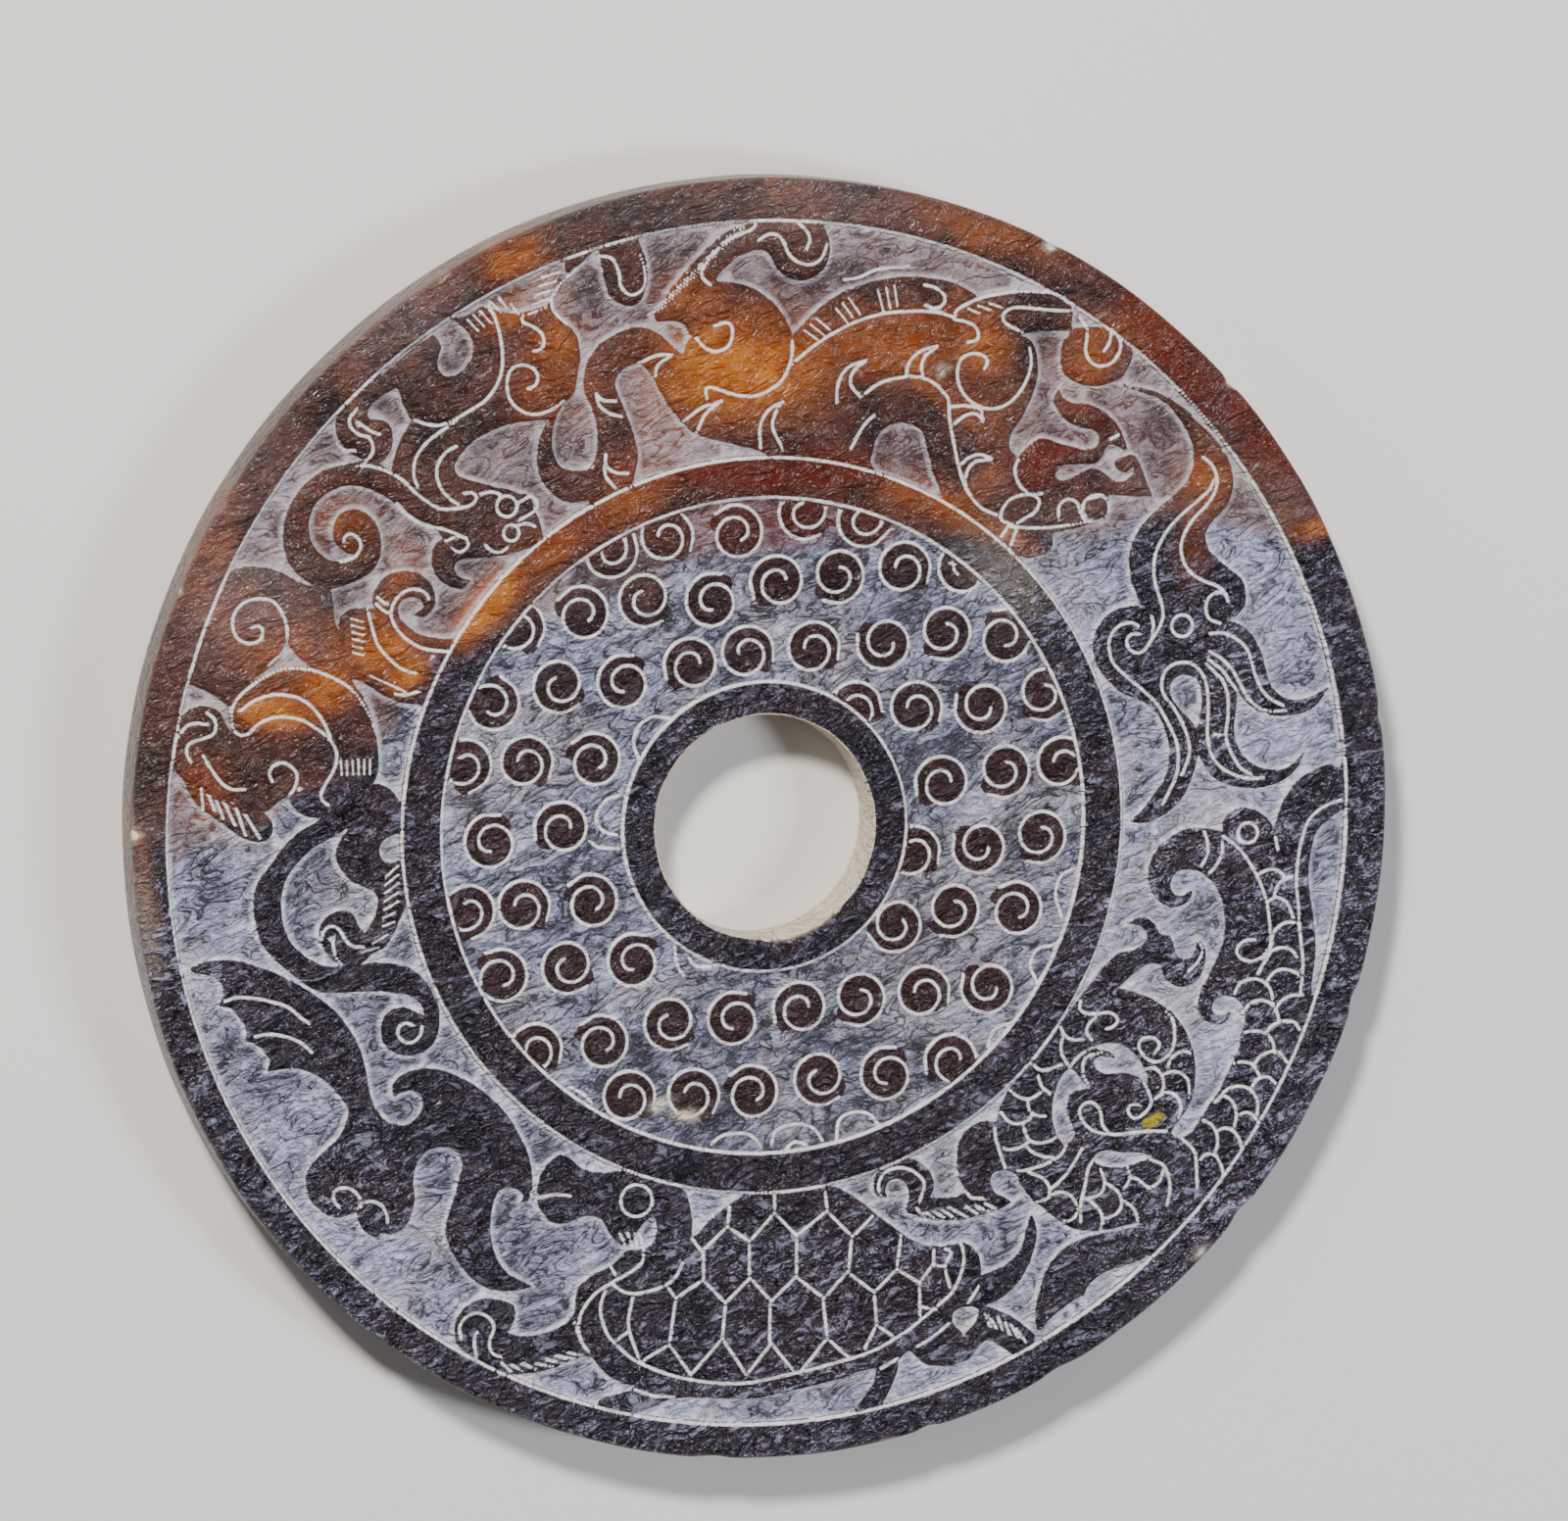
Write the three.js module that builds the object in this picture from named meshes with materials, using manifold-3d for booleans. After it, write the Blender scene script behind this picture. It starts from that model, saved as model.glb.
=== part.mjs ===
import * as THREE from "three";
import { mergeVertices } from "three/addons/utils/BufferGeometryUtils.js";
import Module from "manifold-3d";

// Jade bi disc lying on its back, carved face up. Millimetres, +Z up, origin under the middle of the outline.

const OUTER_RADIUS = 99.3;
const THICKNESS = 10;
const EDGE_ROUNDING = 0.7;
const BORE_RADIUS = 17.3;
const COLLAR_RADIUS = 22.45;
const RING_INNER_RADIUS = 50.83;
const RING_OUTER_RADIUS = 56.98;
const RIM_INNER_RADIUS = 93.26;

// The rim is a little wider at the upper right, so the rings stand off the middle of the outline.
const RINGS_SHIFT_X = -0.6;
const RINGS_SHIFT_Y = -0.6;

const GROUND_DEPTH = 0.9;
const GRAIN_BAND_DEPTH = 0.7;
const LINE_DEPTH = 0.4;
const LINE_WIDTH = 0.85;

const GRAIN_INNER_RADIUS = 3.45;
const GRAIN_TAIL_RADIUS = 4.6;
const GRAIN_STEPS = 10;

const ROUND_SEGMENTS = 84;

const wasm = await Module();
wasm.setup();

function solid(geometry) {
  const bare = geometry.clone();
  bare.deleteAttribute("normal");
  bare.deleteAttribute("uv");
  const merged = mergeVertices(bare, 1e-4);
  const index = merged.index.array;
  const corners = [];
  for (let i = 0; i < index.length; i += 3) {
    const [a, b, c] = [index[i], index[i + 1], index[i + 2]];
    if (a !== b && b !== c && c !== a) {
      corners.push(a, b, c);
    }
  }
  const mesh = new wasm.Mesh({
    numProp: 3,
    vertProperties: new Float32Array(merged.attributes.position.array),
    triVerts: new Uint32Array(corners),
  });
  return new wasm.Manifold(mesh);
}

// A section (radius, height) turned about +Z, either closed on itself or from axis to axis.
function turned(section, segments = ROUND_SEGMENTS) {
  const closed = section[0][0] > 0 ? [...section, section[0]] : section;
  const points = closed.map(([r, z]) => new THREE.Vector2(r, z));
  const geometry = new THREE.LatheGeometry(points, segments);
  geometry.rotateX(Math.PI / 2);
  return solid(geometry);
}

// An upright prism from an outline in the plane of the face.
function prism(outline, bottom, top) {
  const shape = new THREE.Shape(outline.map(([x, y]) => new THREE.Vector2(x, y)));
  const geometry = new THREE.ExtrudeGeometry(shape, { depth: top - bottom, bevelEnabled: false });
  geometry.translate(0, 0, bottom);
  return solid(geometry);
}

// A smooth run through a few points, sampled by its length.
function smooth(points, step) {
  if (points.length < 3) {
    return points;
  }
  const knots = points.map(([x, y]) => new THREE.Vector3(x, y, 0));
  const curve = new THREE.CatmullRomCurve3(knots, false, "centripetal");
  const count = Math.max(points.length - 1, Math.round(curve.getLength() / step));
  return curve.getSpacedPoints(count).map((p) => [p.x, p.y]);
}

// An outline made of smooth runs. Each run starts at the sharp corner where the one before it ends.
function outline(runs, step = 3.5) {
  const points = [];
  runs.forEach((run, i) => {
    const before = runs[(i + runs.length - 1) % runs.length];
    const corner = before[before.length - 1];
    points.push(...smooth([corner, ...run], step).slice(1));
  });
  return points;
}

// Part of a circle as outline points, angles in degrees.
function arc(x, y, radius, from, to, steps) {
  const points = [];
  for (let i = 0; i <= steps; i += 1) {
    const a = THREE.MathUtils.degToRad(from + ((to - from) * i) / steps);
    points.push([x + radius * Math.cos(a), y + radius * Math.sin(a)]);
  }
  return points;
}

// The body: bore, flat back, rounded outer edges and a face with the grain band set lower.
function discBody() {
  const low = THICKNESS - GRAIN_BAND_DEPTH;
  const e = EDGE_ROUNDING;
  const outer = turned([
    [0, 0],
    [OUTER_RADIUS - e, 0],
    [OUTER_RADIUS, e],
    [OUTER_RADIUS, THICKNESS - e],
    [OUTER_RADIUS - e, THICKNESS],
    [0, THICKNESS],
  ]);
  const cuts = turned([
    [COLLAR_RADIUS + 0.15, low],
    [RING_INNER_RADIUS - 0.15, low],
    [RING_INNER_RADIUS, THICKNESS + 1],
    [COLLAR_RADIUS, THICKNESS + 1],
  ]);
  const bore = turned([
    [0, -1],
    [BORE_RADIUS + 1, -1],
    [BORE_RADIUS, 0.5],
    [BORE_RADIUS, THICKNESS - 0.5],
    [BORE_RADIUS + 1, THICKNESS + 1],
    [0, THICKNESS + 1],
  ], 64);
  return {
    outer: outer.translate([-RINGS_SHIFT_X, -RINGS_SHIFT_Y, 0]),
    cuts,
    bore,
  };
}

// Ground sunk between the figures, named by where it lies. +Y is the side of the tiger's back.
const SUNK = {
  overTiger: [
    [[-7.8, 84.2], [-4, 88], [0.4, 88.6], [4, 84.5], [8.3, 84.9], [10.2, 88.8], [8.3, 94]],
    [[20, 93], [34, 89.5], [48.3, 80.6]],
    [[40, 81.8], [33.8, 80.9]],
    [[24, 84.1], [12, 81.8], [4.4, 75.4]],
    [[0.5, 81.3]],
  ],
  besideTail: [
    [[-2.5, 93.4], [-9, 89], [-14.5, 83], [-17.3, 79.2]],
    [[-13, 77.9], [-11.2, 75.6]],
    [[-12.8, 72.9]],
    [[-16, 75.6], [-20, 77.2], [-25, 75.3], [-28.1, 71], [-27, 65], [-26.1, 59.5], [-29, 55.4], [-33, 57.6],
      [-32.5, 64.5], [-29.5, 70], [-29.5, 76], [-33.5, 81], [-25.5, 90.5]],
  ],
  underTail: [
    [[-19.5, 71.8], [-23.6, 68.8], [-21.4, 62], [-21, 52]],
    [[-10, 54], [0.5, 55]],
    [[0.5, 57.5]],
    [[-8, 60], [-13.5, 63.2]],
  ],
  tigerLegs: [[[17, 55], [18, 60.4], [22, 62], [25.6, 59], [28.3, 50]], [[22, 50]]],
  tigerThroat: [
    [[41.3, 75.4], [43.2, 69.5], [41, 62.6], [38.7, 58.6], [40.2, 55.8]],
    [[44, 58.8], [51.5, 56.9], [52.5, 60.1], [47.3, 62.4], [46.7, 66.3]],
    [[53.2, 63.2], [57.2, 58.2], [61.6, 49.7]],
    [[54.6, 50.1]],
    [[53.4, 46], [45.6, 44.2]],
    [[44.6, 41.2], [38.5, 41]],
    [[45, 33], [52.5, 20], [56.2, 5], [56.2, -2]],
    [[61, 1.6], [64.9, 9], [61.5, 17.2], [53.9, 22.3], [53.2, 29.5], [60.3, 32.2]],
    [[58.2, 38.5], [60.8, 45.8], [67.3, 51.6], [67.5, 59.3], [57.2, 66.7]],
    [[64, 64.8], [74, 56]],
    [[64, 69], [46, 82]],
    [[48.3, 74.7]],
    [[47.3, 70], [52.5, 67], [57.8, 70], [55.6, 76]],
  ],
  tigerMouth: [
    [[46, 53.4], [51, 53.7], [56.5, 51.8], [58.9, 54.4]],
    [[56, 55.4], [54.1, 57.5]],
    [[50.5, 54.9]],
  ],
  dragonBack: [
    [[-60, 70.6], [-51.8, 76.6]],
    [[-51.2, 72], [-48.2, 70.4], [-45.4, 74.4], [-48.6, 79.2]],
    [[-42, 80.4], [-37.2, 80]],
    [[-32.5, 82.5], [-31.5, 88.5]],
    [[-50, 81]],
  ],
  dragonWedge: [
    [[-57.2, 68.8], [-62.1, 64.8], [-58.4, 62.2], [-60.5, 57.3]],
    [[-58.3, 56]],
    [[-57.2, 59.8], [-54.9, 63.7]],
  ],
  besideDragon: [
    [[-66.2, 66.9], [-66.5, 61.5], [-62.4, 58]],
    [[-69, 56.2], [-74.6, 49.3], [-73.9, 42.3], [-69, 38.7]],
    [[-77, 41.8], [-87, 39]],
    [[-80, 56], [-70, 68]],
  ],
  dragonMane: [
    [[-46.5, 59.8], [-48.6, 56.2], [-38.7, 52.2]],
    [[-36.2, 49.6], [-34.8, 45]],
    [[-30, 45], [-27.6, 51.2]],
    [[-33.5, 52.5], [-35.6, 58], [-33.6, 63.6]],
    [[-42, 62.4]],
  ],
  dragonCoil: [
    [[-57.2, 50.9], [-50.2, 45.7]],
    [[-51.9, 42], [-49, 38.3], [-46.2, 39.1]],
    [[-48.6, 41], [-36, 44.2]],
    [[-33, 43], [-41, 36], [-48.8, 30.1]],
    [[-54, 31], [-57.4, 34.4], [-55.2, 37], [-54.7, 34.1]],
    [[-51.8, 36], [-55.5, 40.7], [-60.4, 38.8], [-60.9, 35.2]],
    [[-66.6, 31]],
    [[-67.9, 38.4]],
    [[-62, 40.6], [-60.2, 46.2], [-64.5, 50.4], [-67, 46.6], [-63.9, 43.5]],
    [[-67.5, 42.5], [-71.2, 48], [-66, 54.1], [-60.5, 53.2]],
  ],
  overWheel: [[[-74.7, 31], [-76.5, 27.3], [-81.6, 24]], [[-75, 26.4], [-70.3, 26.3]]],
  dragonNape: [
    [[-93, 21], [-89.8, 24.4], [-83.6, 21]],
    [[-82.6, 16.6]],
    [[-87, 20.9], [-92, 16.6]],
  ],
  innerGate: [
    [[-64.8, 24.6], [-59, 21.7], [-52.5, 20.3]],
    [[-55.3, 4]],
    [[-58.5, 7.1], [-61.6, 8.2]],
    [[-60.8, 14]],
  ],
  dragonChest: [
    [[-61.7, 7.8], [-66.8, 0.9], [-73.5, -3.6], [-75.8, -9.7], [-73.4, -16.7], [-66.2, -19.4]],
    [[-69.8, -14.6], [-66, -11], [-62.7, -14.5]],
    [[-60.6, -9.4], [-66.4, -4.4], [-66.4, 0]],
  ],
  innerLens: [[[-56, 0.6], [-60.4, -1.4], [-58.6, -3.9], [-56, -3.2]]],
  wingSide: [
    [[-95, 12], [-90, 8.5], [-83, 1.8], [-78, 0.4], [-78.4, 4.5]],
    [[-74.7, 6.9]],
    [[-72, 4], [-69.3, 3.5]],
    [[-75.4, -1], [-79.9, -9.2], [-76, -18.6], [-68.5, -23.4], [-58.8, -23.6], [-53.4, -27.7]],
    [[-58.2, -26.4], [-60, -30.6], [-56, -33.5], [-51.4, -29.3], [-53.7, -22], [-63.4, -19.4]],
    [[-58.4, -14.7], [-55.5, -8.5]],
    [[-50, -23], [-38, -39.5], [-19.5, -53.2]],
    [[-27, -52.9], [-32, -50], [-35.9, -56.6]],
    [[-37, -56.4]],
    [[-37.8, -48.7], [-43, -41], [-51.6, -36], [-58.5, -38]],
    [[-58.4, -39.7]],
    [[-54.2, -39.8], [-56.5, -44.4], [-61.7, -41], [-63.8, -32.4], [-70, -24.3], [-81, -18.7],
      [-92.5, -20.5]],
  ],
  wingTips: [
    [[-93, -19], [-85, -21.2], [-85.3, -24.9]],
    [[-81.5, -27.4], [-81.2, -30.3]],
    [[-77.7, -33], [-77.9, -35.2]],
    [[-71.2, -35.6], [-65.3, -42], [-71.6, -50.6], [-69.8, -57], [-64.2, -57.3]],
    [[-63.2, -60.2], [-58, -61]],
    [[-58, -75]],
    [[-68, -66], [-80, -52], [-90, -32]],
  ],
  birdNeck: [
    [[-61, -61.6], [-55.6, -57.4], [-54.4, -49.4], [-49.4, -48.1], [-48.5, -54.6], [-50.2, -62],
      [-44.6, -69.6], [-37, -70.2]],
    [[-42.4, -65.8], [-43.1, -57.3], [-38.5, -57]],
    [[-36.9, -55.6]],
    [[-35.6, -56]],
    [[-33, -60.3], [-26.4, -59.8], [-21.5, -64.8]],
    [[-28.6, -70], [-31, -75.9], [-40.8, -77.3]],
    [[-40, -73], [-44.9, -71.9], [-48.8, -76.4], [-45.5, -81.5]],
    [[-62, -72]],
  ],
  underComb: [[[-42.5, -83], [-34, -83.1], [-27.4, -81.6], [-20.4, -86.2]], [[-27.5, -91]], [[-36, -88.5]]],
  birdBeak: [[[-19.9, -61.8], [-17.1, -61], [-19.4, -65.2], [-22.5, -65]]],
  shellFront: [[[-14, -54.6], [-11.8, -59.6], [-11.8, -63.9]], [[-7.3, -60], [1, -56.6]], [[0, -55.5]]],
  rimStrip: [[[-20.5, -91.2], [-10.7, -88.5], [3.4, -88.3], [18, -85.1]], [[13.8, -93]], [[-12, -94]]],
  hoofStrip: [
    [[21.4, -84.2], [23, -82.7], [28.4, -85.3], [35.5, -81.6], [40.8, -84.5]],
    [[18, -94]],
    [[20.7, -87]],
  ],
  smallKnob: [[[31.8, -80.9], [29.9, -78], [32, -76.1], [34.2, -77.2]]],
  shellBack: [
    [[9, -55.6], [18, -61.4], [26.7, -66.4], [32.8, -66.6], [34.6, -71.4]],
    [[40.2, -68.8], [42.7, -62.2]],
    [[43.3, -66.6], [34.9, -76.2]],
    [[44.5, -82.6]],
    [[44.3, -73.8], [50, -66.7], [62, -63.6]],
    [[50.5, -64.8], [43.6, -60.3], [39, -55], [36.5, -58.2], [39.4, -60]],
    [[31, -62.4], [23, -61]],
    [[22.6, -56.4], [19.3, -58.5]],
    [[17.7, -55.4], [22, -52.7], [26.6, -55.6], [26.3, -58.8]],
    [[32.6, -58.2]],
    [[30.8, -52.3], [37.2, -47.5]],
    [[42, -38.6]],
    [[30, -46.8], [10, -54.6]],
  ],
  besideCoil: [[[42.8, -82.8], [51.2, -75.1]], [[55.5, -71.3], [61.5, -69.2]], [[52, -79]]],
  innerCrescent: [[[52.6, -53.9], [57.1, -52.7], [62.3, -53.7]], [[57.5, -55.4]]],
  tusk: [[[48.9, -39.3], [46, -45.5], [48, -51.8]], [[48.6, -45], [52.3, -42.6]]],
  hookGap: [[[51.3, -36.5], [58.7, -36.7], [61.2, -42.6]], [[53.8, -40.3], [56.1, -38]]],
  phoenixTail: [
    [[92.7, 7.3], [86, 5], [81.8, -2.8]],
    [[77.4, 0.4], [73.4, -3]],
    [[67, -2.6], [61.5, -9.4], [66.3, -14.5], [68.4, -12.2]],
    [[65, -10.6], [71, -10], [73.8, -18.5], [69.6, -29], [74.8, -31.5]],
    [[71.8, -30.4], [77.1, -31.5], [73.4, -43.2], [66.8, -51.2]],
    [[65.2, -50.3]],
    [[69, -41], [63.3, -29.8], [56.4, -27.1]],
    [[62.8, -23.3], [67, -27.1], [69.5, -19.9]],
    [[66.8, -23], [64.9, -19.2]],
    [[61.3, -16.5], [58, -16.9]],
    [[61, -19.8], [53.8, -24.3], [47.5, -31.8]],
    [[50, -24], [55.8, -2]],
    [[64, 0.1], [69.4, 9.4]],
    [[76, 4], [86.4, 8.9]],
    [[80.5, 6.4], [75, 12.8], [75.6, 18.9]],
    [[82.5, 14.9], [90.2, 19]],
    [[83, 17.8], [78.8, 26.4], [73.9, 29.9]],
    [[76.8, 34], [70.4, 43], [74.6, 52], [68, 61.7]],
    [[84, 46], [94, 20]],
  ],
  phoenixDrop: [[[67, 21.8], [64.8, 18.6], [69.3, 11.9]], [[69.6, 20.2]]],
  besideBeast: [[[94, -0.5], [88, -5], [87.6, -14], [88.5, -30.5]], [[95, -10]]],
};

// Long cut lines that carry the drawing of the figures.
const CUT_LINES = [
  [[4.3, 71.3], [13, 77], [23, 79], [29.5, 78.1]],
  [[15.8, 66.5], [24, 68.9], [29, 65.3], [30.5, 55.5], [36.8, 47.3]],
  [[34.7, 69.9], [32.8, 72.3], [30.5, 68], [36, 63.7], [41.9, 72]],
  [[4.3, 74.8], [0.5, 67.2], [-9, 67.4]],
  [[-54.7, 63.8], [-48.3, 64], [-41.4, 70.5], [-43, 81]],
  [[-58.4, 56], [-52, 51], [-45.5, 51.4]],
  [[-57.5, 51.2], [-50, 47], [-47.6, 43.6]],
  [[-31.5, 66.3], [-38.3, 65], [-39.8, 71.2], [-36, 69.2]],
  [[-82.8, 21.4], [-75.7, 26.2], [-67, 24.5], [-61.3, 17]],
  [[-81.9, 20.2], [-75.5, 22.5], [-69.5, 18.8], [-67.2, 12.5], [-69.4, 6.6]],
  [[-77, 9.2], [-75.6, 12.1], [-73.2, 9.9], [-74.7, 6.6]],
  [[-74.7, 30], [-76.8, 36.8], [-83, 34], [-80.4, 30.4], [-79.4, 33]],
  [[-84.5, -24.2], [-77.1, -24.6], [-71.5, -28.1]],
  [[-79.9, -29.8], [-75.2, -30], [-71.1, -32.6]],
  [[-19.2, -65.3], [-21.2, -68.4], [-27.1, -71.8], [-29.5, -77.4], [-28, -80.7]],
  [[69.8, 55.5], [71.8, 50.3], [66.5, 41], [73.7, 33.4]],
  [[71.5, 52], [62.3, 41], [63.2, 32.8], [59.3, 25.3], [58.6, 28.3]],
  [[66.5, 6], [67.5, 12], [63.4, 21.5], [70.3, 20.8], [71.3, 9.3], [79.9, 5.3]],
  [[71.5, 28], [77.6, 24.5], [83, 16.5]],
  [[73.3, -3.7], [80, -12.8], [80.9, -22], [79, -25.4]],
  [[92.5, 1.4], [86, -5], [85.9, -19], [86.2, -28.8]],
  [[64.3, -31], [65.3, -36.6], [60.3, -37.2], [63, -36]],
  [[60.8, -42.1], [61.4, -46.4], [58.1, -46.3]],
  [[67, -51.1], [69.4, -56], [67, -63], [60, -67]],
];

// Small rings cut round the eyes: x, y, radius.
const EYES = [
  [-40.5, 50.4, 1.6],
  [66.5, 29.4, 1.7],
  [77.3, -3.3, 1.6],
  [-20.4, -57.4, 2.5],
];

// Grain bosses: x, y, where the tail ends in degrees, and +1 where the tail runs on anticlockwise.
const GRAINS = [
  [-15.6, 45.0, -58, -1], [-4.5, 45.4, 167, 1], [6.4, 48.6, -27, 1], [-28.7, 33.5, 178, 1],
  [-18.8, 35.7, -22, 1], [-8.2, 35.0, 41, -1], [2.1, 37.7, -117, 1], [11.5, 38.6, -150, -1],
  [21.9, 39.3, -58, -1], [-42.9, 20.1, 100, 1], [-32.3, 22.8, -15, 1], [-22.1, 22.8, 41, -1],
  [-11.5, 25.3, -122, 1], [-2.9, 26.9, -45, -1], [7.5, 27.3, -53, -1], [19.0, 28.0, 132, -1],
  [28.5, 29.2, -147, -1], [38.0, 28.3, 141, 1], [-37.7, 10.9, -62, -1], [-26.9, 10.9, 170, 1],
  [23.8, 17.6, -57, -1], [34.6, 17.7, 126, -1], [44.3, 19.5, -147, -1], [-43.1, -1.2, 41, -1],
  [-31.9, 0.4, -130, 1], [28.3, 5.9, -126, 1], [38.0, 7.7, -152, -1], [46.6, 8.4, 120, -1],
  [-38.2, -11.3, -60, -1], [-27.4, -10.9, 172, 1], [34.3, -4.1, 126, -1], [43.8, -2.7, -146, -1],
  [-41.6, -22.0, 152, 1], [-31.0, -20.6, -16, 1], [-20.6, -20.3, 34, -1], [20.8, -15.9, 170, -1],
  [29.9, -13.8, -145, -1], [40.0, -14.2, 156, 1], [-36.4, -33.5, -56, -1], [-25.8, -32.8, 167, 1],
  [-14.9, -29.9, -22, 1], [-4.8, -29.9, 35, -1], [5.7, -28.5, -123, 1], [14.9, -27.1, -149, -1],
  [25.1, -26.7, -52, -1], [35.7, -26.0, 124, -1], [-21.7, -41.4, -51, -1], [-11.6, -41.4, -70, -1],
  [-2.1, -41.4, 170, 1], [8.8, -39.3, -16, 1], [19.5, -39.3, 41, -1], [29.9, -37.5, -125, 1],
];

// Bosses cut short by the ring or the collar: x, y.
const CUT_GRAINS = [
  [-24.4, 43.6], [15.6, 47.6], [31.6, 39.1], [-38.6, 31.7], [-47.4, 10.9], [14.2, 17.4], [-16.5, 14.6],
  [-23.7, 2.4], [43.6, 19.9], [-47.0, -11.6], [23.2, -4.8], [49.2, -12.0], [45.0, -23.1], [37.6, -34.4],
  [-4.5, -51.4], [5.2, -50.0], [14.7, -48.4],
];

function grain([x, y, end, hand]) {
  const points = [];
  for (let i = 0; i <= GRAIN_STEPS; i += 1) {
    const t = i / GRAIN_STEPS;
    const a = THREE.MathUtils.degToRad(end - hand * 360 * t);
    const r = THREE.MathUtils.lerp(GRAIN_TAIL_RADIUS, GRAIN_INNER_RADIUS, Math.min(1, t * 2.4));
    points.push([x + r * Math.cos(a), y + r * Math.sin(a)]);
  }
  return hand > 0 ? points.reverse() : points;
}

// A cut line with square ends.
function groove(points, step = 5, width = LINE_WIDTH) {
  const line = smooth(points, step);
  const left = [];
  const right = [];
  line.forEach(([x, y], i) => {
    const [ax, ay] = line[Math.max(0, i - 1)];
    const [bx, by] = line[Math.min(line.length - 1, i + 1)];
    const d = Math.hypot(bx - ax, by - ay);
    const nx = ((ay - by) / d) * (width / 2);
    const ny = ((bx - ax) / d) * (width / 2);
    left.push([x + nx, y + ny]);
    right.unshift([x - nx, y - ny]);
  });
  return prism([...left, ...right], THICKNESS - LINE_DEPTH, THICKNESS + 1);
}

// The tortoise's shell: two rows of six-sided plates in a rounded edge line.
function shellLines() {
  const pitch = 7.75;
  const lines = [];
  for (let i = 0; i < 5; i += 1) {
    const x = -9.9 + pitch * i;
    lines.push([[x, -64.6], [x - 0.1, -70]]);
    lines.push([[x - 0.1, -70], [x - 4.1, -73.6]]);
    lines.push([[x - 0.1, -70], [x + 3.7, -73.6]]);
    lines.push([[x, -64.6], [x + 4, i < 4 ? -60.4 : -66.5]]);
    if (i > 0) {
      lines.push([[x, -64.6], [x - 3.8, -60.4]]);
      lines.push([[x - 3.8, -60.4], [x - 3.8, -57.6]]);
    }
  }
  for (let i = 0; i < 5; i += 1) {
    const x = -14.2 + pitch * i + 0.1 * i;
    lines.push([[x, -73.2], [x - 0.4 + 0.2 * i, -79.8]]);
    lines.push([[x - 0.4 + 0.2 * i, -79.8], [x - 4.3, -84.6 + 0.4 * Math.abs(i - 2)]]);
    lines.push([[x - 0.4 + 0.2 * i, -79.8], [x + 3.6, -84.8 + 0.5 * Math.abs(i - 2)]]);
  }
  lines.push(smooth([[-25.4, -71.5], [-25.6, -76], [-20, -82.8], [-8, -86.4], [6, -85.2], [20.2, -80.2],
    [30.1, -73.5], [31.4, -66.1]], 4));
  return lines;
}

function annulus(inner, outer) {
  return turned([
    [inner, THICKNESS - 3],
    [outer, THICKNESS - 3],
    [outer, THICKNESS + 2],
    [inner, THICKNESS + 2],
  ]);
}

function ground() {
  let all = null;
  for (const runs of Object.values(SUNK)) {
    const one = prism(outline(runs), THICKNESS - GROUND_DEPTH, THICKNESS + 1);
    all = all ? all.add(one) : one;
  }
  const tailCurl = prism(arc(-22, 84, 3.4, 0, 345, 11), THICKNESS - 2, THICKNESS + 2);
  return all.subtract(tailCurl).intersect(annulus(RING_OUTER_RADIUS, RIM_INNER_RADIUS));
}

function cutLines() {
  let all = null;
  for (const line of [...CUT_LINES, ...shellLines()]) {
    const one = groove(line);
    all = all ? all.add(one) : one;
  }
  for (const [x, y, radius] of EYES) {
    const ring = prism(arc(x, y, radius + LINE_WIDTH / 2, 0, 345, 11), THICKNESS - LINE_DEPTH, THICKNESS + 1);
    const pupil = prism(arc(x, y, radius - LINE_WIDTH / 2, 0, 324, 9), THICKNESS - 1, THICKNESS + 2);
    all = all.add(ring.subtract(pupil));
  }
  return all.intersect(annulus(RING_OUTER_RADIUS, RIM_INNER_RADIUS));
}

function grains() {
  let all = null;
  const bottom = THICKNESS - GRAIN_BAND_DEPTH - 0.5;
  for (const g of GRAINS) {
    const one = prism(grain(g), bottom, THICKNESS);
    all = all ? all.add(one) : one;
  }
  for (const [x, y] of CUT_GRAINS) {
    all = all.add(prism(arc(x, y, GRAIN_INNER_RADIUS, 0, 324, 9), bottom, THICKNESS));
  }
  return all.intersect(annulus(COLLAR_RADIUS, RING_INNER_RADIUS));
}

function biDisc() {
  const { outer, cuts, bore } = discBody();
  const disc = outer
    .subtract(cuts)
    .add(grains())
    .subtract(ground())
    .subtract(cutLines())
    .subtract(bore)
    .translate([RINGS_SHIFT_X, RINGS_SHIFT_Y, 0]);
  // Crossing lines can leave slivers without volume, so only the disc itself is kept.
  return disc.decompose().sort((a, b) => b.volume() - a.volume())[0].asOriginal().simplify(0.12);
}

function toGeometry(manifold) {
  const mesh = manifold.getMesh();
  const geometry = new THREE.BufferGeometry();
  geometry.setAttribute("position", new THREE.BufferAttribute(new Float32Array(mesh.vertProperties), 3));
  geometry.setIndex(new THREE.BufferAttribute(new Uint32Array(mesh.triVerts), 1));
  geometry.computeVertexNormals();
  return geometry;
}

const jade = new THREE.MeshStandardMaterial({ color: 0x5a5059, roughness: 0.42, metalness: 0 });
const disc = new THREE.Mesh(toGeometry(biDisc()), jade);
disc.name = "bi_disc";

const group = new THREE.Group();
group.name = "jade_bi_disc";
group.add(disc);

export default group;
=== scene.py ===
import math

import bpy
import numpy as np
from mathutils import Matrix, Vector, kdtree, noise
from mathutils.geometry import delaunay_2d_cdt


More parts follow.
